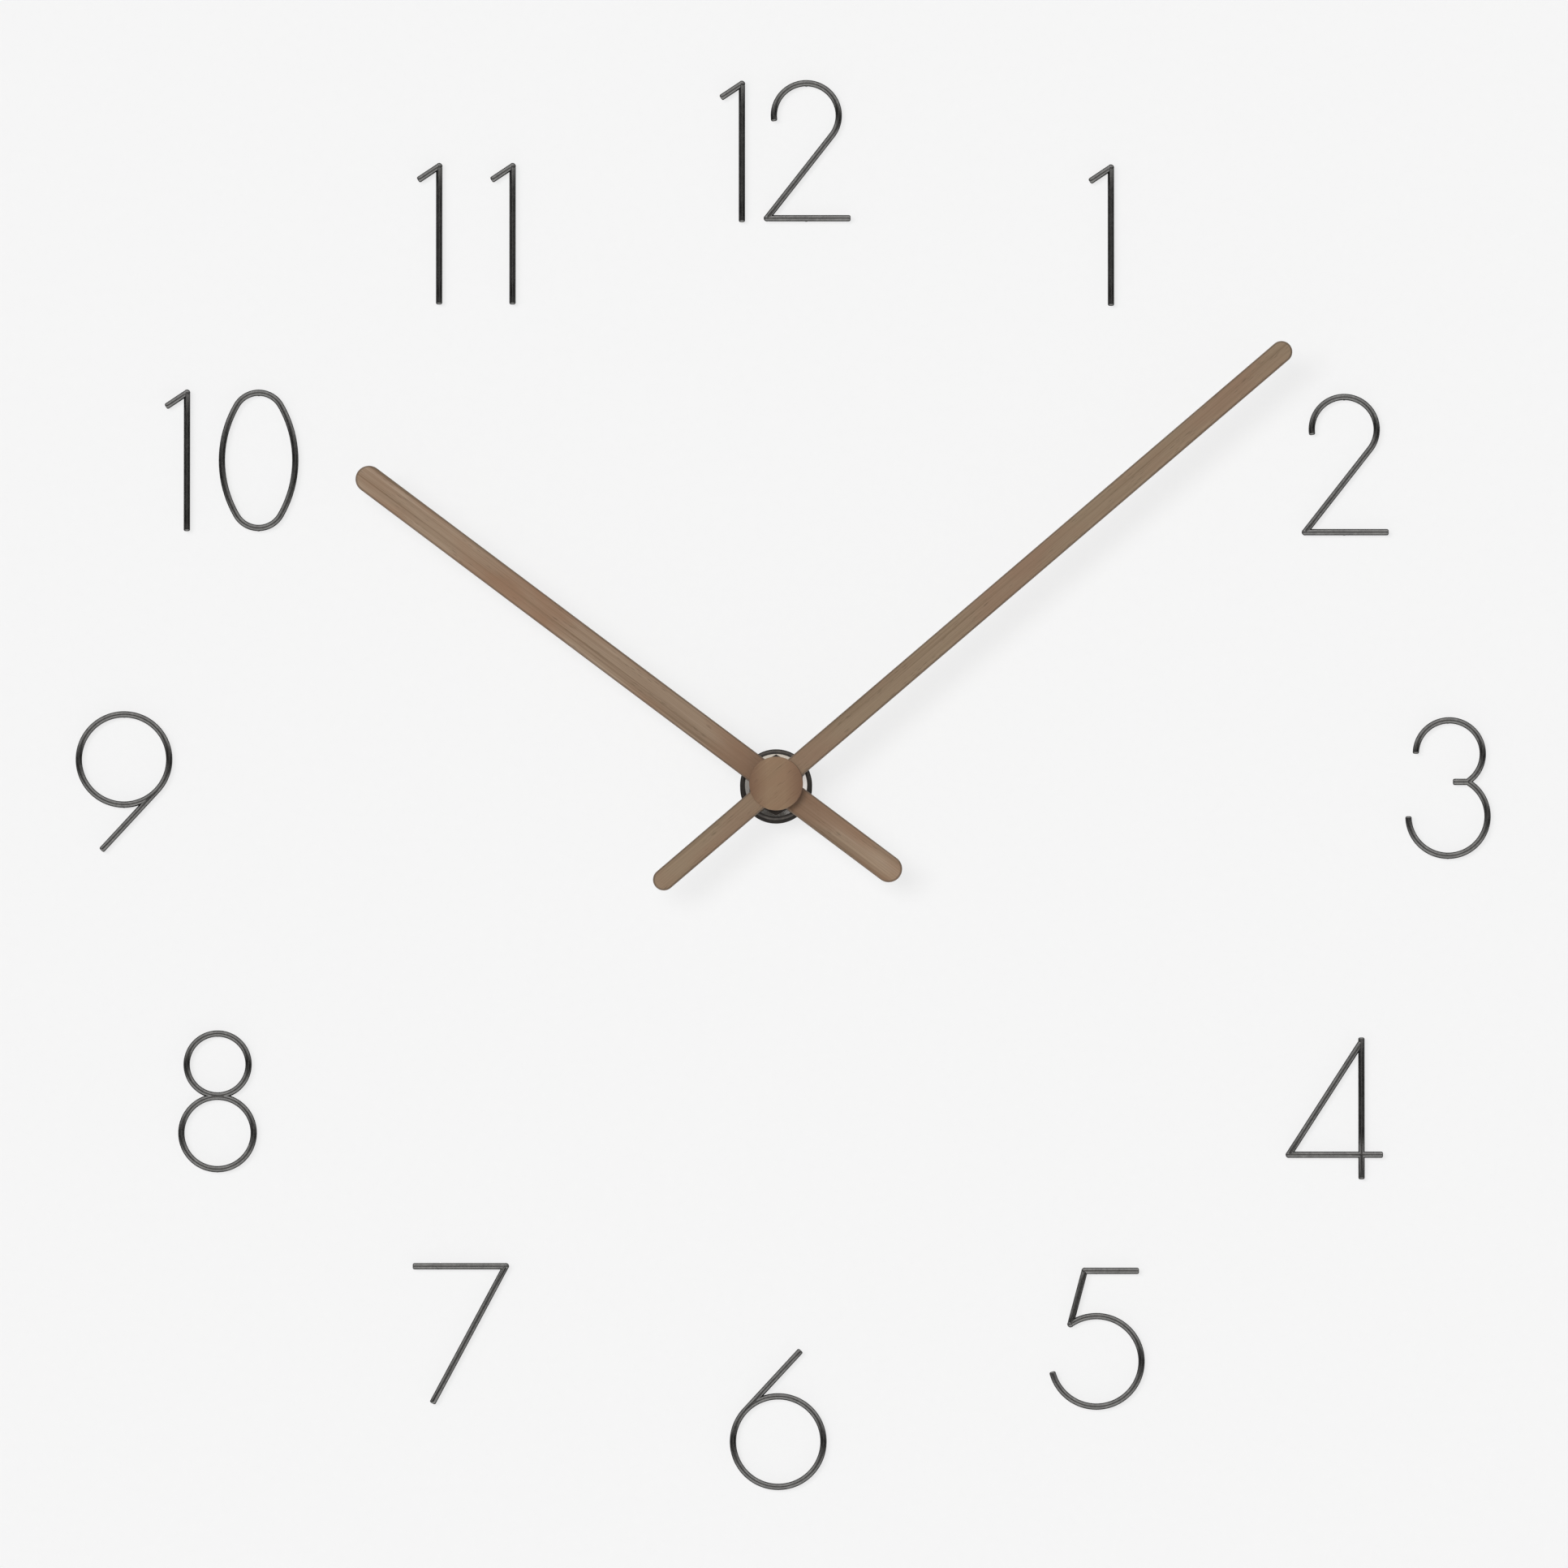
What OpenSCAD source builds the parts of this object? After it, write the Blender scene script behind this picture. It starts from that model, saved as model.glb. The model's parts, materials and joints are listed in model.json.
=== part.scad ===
// Frameless wall clock: fifteen bent-rod digits fixed straight to the wall around a small turned
// hub, which carries two walnut hands and a battery quartz movement with a compact round case.
//
// Frame: the wall is the plane y = 0 and the clock faces -Y, with +Z up. The origin is the hub's
// axis on the wall. Sub-parts are drawn as seen from the front, x to the right, y up and z out of
// the wall, and front() stands that drawing up.

/* [Numerals] */
// Diameter of the round rod that the digits are bent from
rod_d = 4.5; // [3.5:0.5:5]
// Height of the rod's centreline above the wall
rod_lift = 5; // [4:0.5:8]
// Distance between the centrelines of a digit's top and bottom strokes
digit_span = 96; // [96]
// Diameter of the two plain studs behind each digit
stud_d = 3; // [2:0.5:3]
// Length of a stud inside the wall
stud_depth = 12; // [8:1:20]

/* [Hub] */
// Outer diameter of the hub shell
hub_d = 51; // [51:0.5:54]
// Height of the hub shell's front face above the wall
hub_depth = 32; // [32:0.5:34]
// Thickness of the hub shell's side wall
hub_wall = 1.5; // [1.2:0.1:1.5]
// Radius of the hub shell's rounded front edge
hub_round = 2.6; // [2:0.2:3.4]
// Diameter of the circle that the three wall screws stand on
wall_screw_pcd = 30; // [26:1:32]
// Diameter of the wall screws' holes
wall_screw_hole = 4.5; // [3.5:0.5:5]

/* [Hands] */
// Thickness of both walnut hands
hand_t = 2.2; // [1.8:0.1:2.4]
// Width of the hour hand
hour_w = 19; // [16:0.5:22]
// Reach of the hour hand's tip from the axis
hour_reach = 369.5; // [300:0.5:380]
// Reach of the hour hand's tail from the axis
hour_tail = 109; // [100:0.5:120]
// Width of the minute hand
minute_w = 15.3; // [13:0.1:18]
// Reach of the minute hand's tip from the axis
minute_reach = 478; // [400:0.5:480]
// Reach of the minute hand's tail from the axis
minute_tail = 112; // [100:0.5:120]
// Diameter of the disc over the hands' centre
cap_d = 38; // [32:0.5:42]
// Hour hand's angle at rest, clockwise from twelve
hour_at = 306.8; // [0:0.1:360]
// Minute hand's angle at rest, clockwise from twelve
minute_at = 49.5; // [0:0.1:360]

/* [Movement] */
// Outer diameter of the movement's round case
case_d = 47.2; // [47:0.1:47.4]
// Wall thickness of the movement's case
case_wall = 1.2; // [1:0.1:1.2]
// Module of the going train's teeth
train_module = 0.28; // [0.28]
// Module of the cannon pinion and motion wheel
motion_module = 0.35; // [0.35]
// Thickness of every wheel's rim
wheel_t = 0.8; // [0.6:0.1:0.8]

/* [Hidden] */
$fn = 64;
rod_r = rod_d / 2;
bead_r = rod_r * 1.03;
stud_r = stud_d / 2;
shoulder_r = rod_r - 0.1;
half = digit_span / 2;
skin = 0.01;
joint_gap = 0.05;
collar_t = 0.8;
// how far one rod is set forward of another that it crosses
lap = 0.5;

// places of the digits' centres, x and y from the hub's axis
at_1 = [230.5, 392];
at_2 = [403, 229];
at_3 = [475.5, -0.5];
at_4 = [395, -227.5];
at_5 = [226.5, -390.5];
at_6 = [1.5, -447.5];
at_7 = [-223, -387];
at_8 = [-395, -222.5];
at_9 = [-461.5, 4];
at_10_one = [-424, 232];
at_10_zero = [-366.5, 232];
at_11_left = [-245.5, 393];
at_11_right = [-193.5, 393];
at_12_one = [-31, 451.5];
at_12_two = [22, 452];

// heights above the wall, from the wall plate out to the cap
hub_r = hub_d / 2;
hub_bore_r = hub_r - hub_wall;
case_r = case_d / 2;
chamber_r = case_r - case_wall;
plate_t = 1.5;
ring_h = 6;
cell_z = 11.9;
floor_z = hub_depth - 14.4;
floor_t = 1.2;
chamber_z = floor_z + floor_t;
roof_z = hub_depth - 4;
roof_t = 1.6;
gasket_z = roof_z + roof_t;
gasket_r = 9;
face_z = hub_depth;
face_t = 2;
flat_r = 13;
edge_drop = 0.7;
edge_r = hub_r - hub_round;
hex_r = 21.7;
plate_rise = 0.8;
nut_t = 2.8;
nut_r = 6.4;
bush_top = face_z + plate_rise + nut_t + 0.6;
hour_z = bush_top + 2.5;
minute_z = hour_z + hand_t + 5.4;
cap_z = minute_z + hand_t;
cap_t = 1.4;

// arbors and bushes
minute_arbor_r = 1.5;
hour_bore_r = minute_arbor_r + 0.05;
hour_pipe_r = 2.5;
bush_bore_r = hour_pipe_r + 0.05;
bush_r = 4;
flange_r = 5.5;
flange_t = 0.8;
pivot_r = 0.4;
pivot_play = 0.05;

// tooth counts: the rotor makes sixty turns for one of the minute hand
rotor_teeth = 8;
second_teeth = 60;
second_pinion_teeth = 10;
centre_teeth = 80;
cannon_teeth = 12;
motion_teeth = 36;
motion_pinion_teeth = 10;
hour_teeth = 40;
knob_teeth = 12;

second_dist = train_module * (second_pinion_teeth + centre_teeth) / 2;
rotor_dist = train_module * (rotor_teeth + second_teeth) / 2;
motion_dist = motion_module * (cannon_teeth + motion_teeth) / 2;
hour_module = 2 * motion_dist / (motion_pinion_teeth + hour_teeth);

// arbor places in the movement
motion_dir = 60;
rotor_dir = -70;
second_at = [-second_dist, 0];
rotor_at = second_at + rotor_dist * [cos(rotor_dir), sin(rotor_dir)];
motion_at = motion_dist * [cos(motion_dir), sin(motion_dir)];
knob_at = 2 * motion_at;

// levels of the wheels, above the chamber's floor
centre_z = chamber_z + 1.2;
second_z = centre_z + 2;
motion_z = second_z + 1.8;
hour_wheel_z = motion_z + 1.8;
stator_z = second_z + 2.2;
stator_t = 1;
board_z = chamber_z + 0.8;
board_t = 1;

// electrical parts
stator_y = rotor_at[1];
stator_x = [-12.5, 11];
stator_half = 3.3;
coil_y = -16;
coil_x = [-8.8, 7.4];
coil_r = 3;
magnet_r = 2.1;
cell_r = 5.25;
cell_x = [-21.7, 22];
pillar_pcd = 40.8;
pillar_dirs = [90, 210, 330];

// ---- helpers ------------------------------------------------------------------------------

module front() {
    rotate([90, 0, 0]) children();
}

// a round bar or hole along the drawing's z, from z0 to z1
module post(p, r, z0, z1) {
    translate([p[0], p[1], z0]) cylinder(h = z1 - z0, r = r);
}

// a straight length of the digits' rod between two points
module rod(a, b) {
    d = b - a;
    translate([a[0], a[1], 0])
        rotate([0, 0, atan2(d[1], d[0])])
            rotate([0, 90, 0]) cylinder(h = norm(d), r = rod_r);
}

// an arc of the digits' rod about c, counter-clockwise from one angle to another, whose ends stop
// just short so that only the weld joins them
module bend(c, radius, from, to) {
    trim = joint_gap / radius * 180 / PI;
    translate([c[0], c[1], 0])
        rotate([0, 0, from + trim])
            rotate_extrude(angle = to - from - 2 * trim, $fn = 128)
                translate([radius, 0]) circle(r = rod_r, $fn = 32);
}

// a whole ring of the digits' rod
module ring(c, radius) {
    translate([c[0], c[1], 0])
        rotate_extrude($fn = 128) translate([radius, 0]) circle(r = rod_r, $fn = 32);
}

// a dressed weld where two lengths of rod meet at a corner, its poles turned into the digit's plane
module bead(p) {
    translate([p[0], p[1], 0]) rotate([90, 0, 45]) sphere(r = bead_r);
}

// a dressed butt weld where two lengths of rod meet in line, at direction dir on a circle about c
module collar(c, radius, dir) {
    p = on_circle(c, radius, dir);
    translate([p[0], p[1], 0])
        rotate([90, 0, dir])
            cylinder(h = collar_t, r = bead_r, center = true);
}

// a stud into the wall, with a shoulder from the rod back to the wall's surface
module stud(p) {
    post(p, stud_r, -rod_lift - stud_depth, -rod_lift + skin);
    post(p, shoulder_r, -rod_lift, 0);
}

function on_circle(c, radius, dir) = c + radius * [cos(dir), sin(dir)];

// the direction, seen from c, of the point where a line from p touches the circle about c
function touch_dir(c, radius, p, side) =
    atan2(p[1] - c[1], p[0] - c[0]) + side * acos(radius / norm(p - c));

// where two circles cross, on the right of the line from the second centre to the first
function crossing(c1, r1, c2, r2) =
    let (
        gap = norm(c1 - c2),
        along = (r2 * r2 - r1 * r1 + gap * gap) / (2 * gap),
        out = sqrt(r2 * r2 - along * along),
        u = (c1 - c2) / gap
    )
    c2 + along * u + out * [u[1], -u[0]];

function dir_of(c, p) = atan2(p[1] - c[1], p[0] - c[0]);

// stands a digit at its place on the wall
module numeral(place) {
    color("#3d3d3e") front() translate([place[0], place[1], rod_lift]) children();
}

// ---- digits, each about the centre of its own box -----------------------------------------

module digit_0() {
    across = 26;
    end_r = 18;
    side_r = (across * across + (half - end_r) * (half - end_r) - end_r * end_r) / (2 * (across - end_r));
    top = [0, half - end_r];
    right = [across - side_r, 0];
    split = dir_of(right, top);
    for (side = [-1, 1]) {
        bend(side * right, side_r, 90 - side * 90 - split, 90 - side * 90 + split);
        bend(side * top, end_r, 90 - side * 90 + split, 270 - side * 90 - split);
        for (dir = [split, 180 - split]) collar(side * top, end_r, 90 - side * 90 + dir);
        stud([0, side * half]);
    }
}

module digit_1() {
    stem = 7;
    flag = [-8, 38];
    rod([stem, -half - rod_r], [stem, half]);
    rod([stem, half], flag);
    bead([stem, half]);
    for (side = [-1, 1]) stud([stem, side * 38]);
}

module digit_2() {
    c = [-0.6, 25];
    radius = half - c[1];
    corner = [-28.5, -half];
    touch = touch_dir(c, radius, corner, 1);
    bend(c, radius, touch, 190);
    collar(c, radius, touch);
    rod(on_circle(c, radius, touch), corner);
    rod(corner, [-corner[0] + rod_r, -half]);
    bead(corner);
    stud([c[0], half]);
    stud([c[0], -half]);
}

module digit_3() {
    c1 = [1, 24.3];
    r1 = half - c1[1];
    c2 = [0, -20];
    r2 = half + c2[1];
    meet = crossing(c1, r1, c2, r2);
    bend(c1, r1, dir_of(c1, meet), 180);
    bend(c2, r2, -180, dir_of(c2, meet));
    rod([3.5, meet[1]], meet);
    bead(meet);
    stud([0, half - 0.02]);
    stud([0, -half]);
}

module digit_4() {
    stem = 19;
    bar = -32.8;
    left = [-32.4, bar];
    rod([stem, -half - rod_r], [stem, half + rod_r]);
    rod([stem, half - 1], left);
    translate([0, 0, lap]) rod(left, [34.2, bar]);
    bead(left);
    for (y = [-44, 30]) stud([stem, y]);
}

module digit_5() {
    c = [0, -16];
    radius = half + c[1];
    corner = [-8.2, half];
    start = 124.7;
    heel = on_circle(c, radius, start);
    rod(corner, [30.2, half]);
    rod(corner, heel);
    bend(c, radius, start - 291.6, start);
    bead(corner);
    bead(heel);
    stud([0, half]);
    stud([0, -half]);
}

module digit_6() {
    c = [0, -16];
    radius = half + c[1];
    tip = [16, half + 0.5];
    touch = touch_dir(c, radius, tip, 1);
    ring(c, radius);
    translate([0, 0, lap]) rod(tip, on_circle(c, radius, touch));
    stud([0, c[1] + radius]);
    stud([0, -half]);
}

module digit_7() {
    corner = [31.9, half];
    foot = [-20, -half - 1];
    tie = -16;
    rod([-33.9, half], corner);
    rod(corner, foot);
    bead(corner);
    slope = (corner[1] - foot[1]) / (corner[0] - foot[0]);
    stud([tie, half]);
    stud([tie, half - slope * (corner[0] - tie)]);
}

module digit_8() {
    upper_r = 21.9;
    lower_r = 25.6;
    ring([0, half - upper_r], upper_r);
    ring([0, lower_r - half], lower_r);
    for (side = [-1, 1]) stud([0, side * half]);
}

module numeral_12_one() { numeral(at_12_one) digit_1(); }
module numeral_12_two() { numeral(at_12_two) digit_2(); }
module numeral_1() { numeral(at_1) digit_1(); }
module numeral_2() { numeral(at_2) digit_2(); }
module numeral_3() { numeral(at_3) digit_3(); }
module numeral_4() { numeral(at_4) digit_4(); }
module numeral_5() { numeral(at_5) digit_5(); }
module numeral_6() { numeral(at_6) digit_6(); }
module numeral_7() { numeral(at_7) digit_7(); }
module numeral_8() { numeral(at_8) digit_8(); }
module numeral_9() { numeral(at_9) rotate([0, 0, 180]) digit_6(); }
module numeral_10_one() { numeral(at_10_one) digit_1(); }
module numeral_10_zero() { numeral(at_10_zero) digit_0(); }
module numeral_11_left() { numeral(at_11_left) digit_1(); }
module numeral_11_right() { numeral(at_11_right) digit_1(); }

// ---- hub ----------------------------------------------------------------------------------

grub_dirs = [30, 150, 270];
grub_z = 3.6;
grub_r = 1.5;
socket_r = 0.85;
socket_depth = 1.3;

// a radial hole or screw through the hub's wall
module radial(dir, z, r, from, to) {
    rotate([0, 0, dir]) translate([from, 0, z]) rotate([0, 90, 0]) cylinder(h = to - from, r = r);
}

// shallow cup screwed to the wall, which the shell slips over
module wall_plate() {
    ring_r = hub_bore_r - 0.3;
    ring_t = 1.7;
    hole_r = wall_screw_hole / 2;
    color("silver") front() difference() {
        cylinder(h = ring_h, r = ring_r);
        translate([0, 0, plate_t]) cylinder(h = ring_h, r = ring_r - ring_t);
        for (dir = [90, 210, 330]) post(on_circle([0, 0], wall_screw_pcd / 2, dir), hole_r, -1, plate_t + 1);
        for (dir = grub_dirs) radial(dir, grub_z, grub_r, ring_r - 3, ring_r + 1);
    }
}

// turned cup with a rounded front edge, a gently sloped outer band and a flat middle
module hub_shell() {
    color("#3a3a3c") front() difference() {
        rotate_extrude($fn = 128) difference() {
            union() {
                polygon([
                    [0, 0.5],
                    [hub_r, 0.5],
                    [hub_r, face_z - edge_drop - hub_round],
                    [edge_r, face_z - edge_drop - hub_round],
                    [edge_r, face_z - edge_drop],
                    [flat_r, face_z],
                    [0, face_z]
                ]);
                intersection() {
                    translate([edge_r, face_z - edge_drop - hub_round]) circle(r = hub_round);
                    translate([edge_r, face_z - edge_drop - hub_round]) square(hub_round);
                }
            }
            translate([-1, -1]) square([hub_bore_r + 1, face_z - face_t + 1]);
        }
        post([0, 0], bush_r + 0.1, face_z - face_t - 1, face_z + 1);
        for (dir = grub_dirs) radial(dir, grub_z, grub_r, hub_bore_r - 1, hub_r + 1);
    }
}

// headless hexagon-socket screws that clamp the shell to the wall plate's ring
module hub_grub_screws() {
    inner = hub_bore_r - 1.6;
    color("#2c2c2e") front() for (dir = grub_dirs) difference() {
        radial(dir, grub_z, grub_r - 0.02, inner, hub_r - 0.3);
        rotate([0, 0, dir]) translate([hub_r - 0.3 - socket_depth, 0, grub_z]) rotate([0, 90, 0])
            cylinder(h = socket_depth + 1, r = socket_r, $fn = 6);
    }
}

// thin six-sided clamping plate, dished to lie on the hub's face, with a bevelled edge
module hex_plate() {
    top = face_z + plate_rise;
    bevel = 0.7;
    color("silver") front() difference() {
        intersection() {
            rotate_extrude($fn = 128) polygon([
                [0, face_z],
                [flat_r, face_z],
                [edge_r, face_z - edge_drop],
                [edge_r, top - edge_drop],
                [flat_r, top],
                [0, top]
            ]);
            rotate([0, 0, 90]) union() {
                translate([0, 0, face_z - 2]) cylinder(h = top - face_z + 1, r = hex_r, $fn = 6);
                translate([0, 0, top - 1]) cylinder(h = 2, r1 = hex_r, r2 = hex_r - 2 * bevel, $fn = 6);
            }
        }
        post([0, 0], bush_r + 0.1, face_z - 1, top + 1);
    }
}

module hex_nut() {
    z = face_z + plate_rise;
    color("goldenrod") front() difference() {
        translate([0, 0, z]) cylinder(h = nut_t, r = nut_r, $fn = 6);
        post([0, 0], bush_r, z - 1, z + nut_t + 1);
    }
}

// rubber ring between the movement and the shell's inner face
module gasket() {
    color("#202020") front() difference() {
        post([0, 0], gasket_r, gasket_z, face_z - face_t);
        post([0, 0], bush_r + 0.3, gasket_z - 1, face_z);
    }
}

// ---- movement case ------------------------------------------------------------------------

// brass barrel with a flange inside the case, which the nut pulls tight
module centre_bushing() {
    color("goldenrod") front() difference() {
        union() {
            post([0, 0], flange_r, roof_z - flange_t, roof_z);
            post([0, 0], bush_r, roof_z - skin, bush_top);
        }
        post([0, 0], bush_bore_r, roof_z - 2, bush_top + 1);
    }
}

// front half of the case: a cup with pillars, stator posts and bearing holes in its roof
module movement_cover() {
    motion_post_r = 0.8;
    bearing_r = pivot_r + pivot_play;
    color("#303234") front() {
        difference() {
            post([0, 0], case_r, chamber_z, roof_z + roof_t);
            post([0, 0], chamber_r, chamber_z - 1, roof_z);
            post([0, 0], bush_r, roof_z - 1, roof_z + roof_t + 1);
            for (p = [rotor_at, second_at, knob_at]) post(p, bearing_r, roof_z - 1, roof_z + 0.8);
        }
        for (dir = pillar_dirs) difference() {
            post(on_circle([0, 0], pillar_pcd / 2, dir), 1.7, chamber_z, roof_z + skin);
            post(on_circle([0, 0], pillar_pcd / 2, dir), 0.7, chamber_z - 1, roof_z - 3);
        }
        for (x = [2, 9.5]) post([x, stator_y], 1, stator_z + stator_t, roof_z + skin);
        post(motion_at, motion_post_r, motion_z - 0.4, roof_z + skin);
    }
}

// rear half of the case: the train's floor with the battery's cradle behind it
module movement_base() {
    rail_y = cell_r + 1;
    rail_t = 1.2;
    rail_z = 7.5;
    rail_x = 21;
    color("#303234") front() difference() {
        union() {
            post([0, 0], case_r, floor_z, chamber_z);
            for (side = [-1, 1])
                translate([-rail_x, side * (rail_y + rail_t / 2) - rail_t / 2, rail_z])
                    cube([2 * rail_x, rail_t, floor_z - rail_z + skin]);
            for (x = [-14, 13])
                translate([x, -rail_y - skin, cell_z + cell_r + 0.05])
                    cube([1, 2 * (rail_y + skin), floor_z - cell_z - cell_r]);
        }
        for (p = [rotor_at, second_at]) post(p, pivot_r + pivot_play, chamber_z - 0.8, chamber_z + 1);
        post([0, 0], 0.85, chamber_z - 0.8, chamber_z + 1);
        post(knob_at, 1.25, floor_z - 1, chamber_z + 1);
        for (dir = pillar_dirs)
            post(on_circle([0, 0], pillar_pcd / 2, dir), 0.85, floor_z - 1, chamber_z + 1);
        for (x = [-20.9, 20.2])
            translate([x, -5.1, floor_z - 1]) cube([0.7, 1.2, floor_t + 2]);
    }
}

// three pan-head screws that close the case from behind
module case_screws() {
    head_t = 1;
    color("silver") front() for (dir = pillar_dirs) {
        p = on_circle([0, 0], pillar_pcd / 2, dir);
        difference() {
            union() {
                post(p, 1.5, floor_z - head_t, floor_z);
                post(p, 0.68, floor_z - skin, chamber_z + 5);
            }
            translate([p[0] - 0.2, p[1] - 1, floor_z - head_t - skin]) cube([0.4, 2, 0.4]);
            translate([p[0] - 1, p[1] - 0.2, floor_z - head_t - skin]) cube([2, 0.4, 0.4]);
        }
    }
}

// ---- electrical parts ---------------------------------------------------------------------

// small cylindrical cell lying across behind the case
module battery_cell() {
    color("#5d6b73") front() translate([cell_x[0], 0, cell_z]) rotate([0, 90, 0]) union() {
        cylinder(h = cell_x[1] - cell_x[0], r = cell_r);
        cylinder(h = cell_x[1] - cell_x[0] + 0.8, r = 1.9);
    }
}

contact_t = 0.3;
contact_y = -5;

// upright strip, a tab along the case's floor and a pin through it to the board, for x > 0
module contact(face) {
    bottom = 8;
    tab_z = floor_z - contact_t;
    pin_x = 20.3;
    translate([face, contact_y, bottom]) cube([contact_t, 7.5, floor_z - bottom]);
    translate([pin_x, contact_y, tab_z]) cube([face - pin_x + skin, 1, contact_t]);
    translate([pin_x, contact_y, tab_z]) cube([0.5, 1, board_z + board_t + 0.5 - tab_z]);
}

module contact_positive() {
    color("#c9c5b8") front() contact(cell_x[1] + 0.8);
}

// the same strip turned to the other end, with a sprung fold that presses on the cell
module contact_negative() {
    face = 22.8;
    fold = face + cell_x[0];
    color("#c9c5b8") front() mirror([1, 0, 0]) {
        contact(face);
        translate([0, 2, 0]) rotate([90, 0, 0]) linear_extrude(height = 4) polygon([
            [face + skin, 14.5],
            [face - fold, cell_z + 0.3],
            [face - fold, cell_z - 0.3],
            [face + skin, 9.3],
            [face + skin, 9.7],
            [face - fold + contact_t, cell_z],
            [face + skin, 14.1]
        ]);
    }
}

// crescent board that leaves the wheels' side of the chamber free
module circuit_board() {
    color("#2f6b45") front() translate([0, 0, board_z]) difference() {
        linear_extrude(height = board_t) difference() {
            circle(r = chamber_r - 0.6);
            circle(r = 12.2);
            translate([-30, -3]) square([60, 40]);
        }
        post(rotor_at, 1.2, -1, board_t + 1);
        for (dir = pillar_dirs) post(on_circle([0, 0], pillar_pcd / 2, dir), 1.9, -1, board_t + 1);
        for (x = [-20.9, 20.2]) translate([x, -5.1, -1]) cube([0.7, 1.2, board_t + 2]);
    }
}

module quartz_crystal() {
    color("#d8d8d6") front() translate([13, -6.2, board_z + board_t + 1]) rotate([0, 90, 0])
        cylinder(h = 6, r = 1);
}

// low round blob of moulding resin over the chip
module clock_chip() {
    color("#151515") front() post([-3, -15.5], 2.2, board_z + board_t, board_z + board_t + 0.55);
}

// soft-iron plate around the rotor, with two legs down to the coil's core
module stator() {
    leg = 2.2;
    core = 1;
    bar = [stator_x[1] - stator_x[0], 2 * stator_half];
    color("#9a9ca0") front() translate([0, 0, stator_z]) difference() {
        linear_extrude(height = stator_t) union() {
            translate([stator_x[0], stator_y - stator_half]) square(bar);
            translate([stator_x[0], coil_y - core]) square([leg, stator_y - coil_y]);
            translate([stator_x[1] - leg, coil_y - core]) square([leg, stator_y - coil_y]);
            translate([stator_x[0], coil_y - core]) square([bar[0], 2 * core]);
        }
        post(rotor_at, magnet_r + 0.5, -1, stator_t + 1);
        for (side = [-1, 1]) post(rotor_at + [0, side * stator_half], 0.45, -1, stator_t + 1);
    }
}

coil_mid_z = stator_z + stator_t / 2;

// a round body along x about the coil's axis
module on_coil(x0, x1, r) {
    translate([x0, coil_y, coil_mid_z]) rotate([0, 90, 0]) cylinder(h = x1 - x0, r = r);
}

module coil_bobbin() {
    flange = 0.6;
    window = [coil_x[1] - coil_x[0] + 2, 2.1, stator_t + 0.1];
    color("#e8e3d4") front() difference() {
        union() {
            on_coil(coil_x[0], coil_x[1], 1.7);
            on_coil(coil_x[0], coil_x[0] + flange, coil_r + 0.3);
            on_coil(coil_x[1] - flange, coil_x[1], coil_r + 0.3);
        }
        translate([coil_x[0] - 1, coil_y - window[1] / 2, coil_mid_z - window[2] / 2]) cube(window);
    }
}

module coil_winding() {
    color("#b5652b") front() difference() {
        on_coil(coil_x[0] + 0.65, coil_x[1] - 0.65, coil_r);
        on_coil(coil_x[0], coil_x[1], 1.75);
    }
}

// ---- wheels -------------------------------------------------------------------------------

pressure = 20;
tip_reach = 0.85;
root_depth = 1.15;
tooth_share = 0.42;

function involute(a) = tan(a) - a * PI / 180;
function flank_angle(base, r) = r > base ? acos(base / r) : 0;

// half of one tooth's angle at a radius, narrowed to leave backlash
function tooth_half(n, pitch_r, base, r) =
    180 / n * tooth_share + (involute(pressure) - involute(flank_angle(base, max(r, base)))) * 180 / PI;

// outline of a wheel with involute flanks, its first tooth's middle at angle phase
module toothed(n, m, phase = 0) {
    pitch_r = n * m / 2;
    base = pitch_r * cos(pressure);
    tip = pitch_r + tip_reach * m;
    root = pitch_r - root_depth * m;
    rings = [root, max(root + skin, (root + pitch_r) / 2), pitch_r, (pitch_r + tip) / 2, tip];
    rotate([0, 0, phase]) polygon([
        for (k = [0:n - 1]) each [
            for (i = [0:4]) let (
                a = 360 * k / n - tooth_half(n, pitch_r, base, rings[i])
            ) rings[i] * [cos(a), sin(a)],
            for (i = [4:-1:0]) let (
                a = 360 * k / n + tooth_half(n, pitch_r, base, rings[i])
            ) rings[i] * [cos(a), sin(a)]
        ]
    ]);
}

module gear(p, n, m, z0, z1, phase = 0) {
    translate([p[0], p[1], z0]) linear_extrude(height = z1 - z0) toothed(n, m, phase);
}

// the turn that sets a driven wheel's gap on the driver's tooth, along the line between centres
function meshed(from, to, n_from, phase_from, n_to) =
    let (
        line = dir_of(from, to),
        off = (line - phase_from) * n_from / 360,
        share = off - floor(off)
    )
    line + 180 + (share + 0.5) * 360 / n_to;

hub_axis = [0, 0];
second_pinion_phase = meshed(hub_axis, second_at, centre_teeth, 0, second_pinion_teeth);
rotor_phase = meshed(second_at, rotor_at, second_teeth, 0, rotor_teeth);
motion_phase = meshed(hub_axis, motion_at, cannon_teeth, 0, motion_teeth);
motion_pinion_phase = meshed(hub_axis, motion_at, hour_teeth, 0, motion_pinion_teeth);
knob_phase = meshed(motion_at, knob_at, motion_teeth, motion_phase, knob_teeth);

// arbor with its pinion, turned by the magnet
module rotor_pinion() {
    color("#d9d4c4") front() union() {
        post(rotor_at, pivot_r, chamber_z - 0.6, roof_z + 0.6);
        gear(rotor_at, rotor_teeth, train_module, second_z - 0.4, second_z + wheel_t + 0.4, rotor_phase);
    }
}

module rotor_magnet() {
    color("#4a4a50") front() difference() {
        post(rotor_at, magnet_r, stator_z - 0.4, stator_z + stator_t + 0.6);
        post(rotor_at, pivot_r, stator_z - 2, stator_z + stator_t + 2);
    }
}

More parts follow.
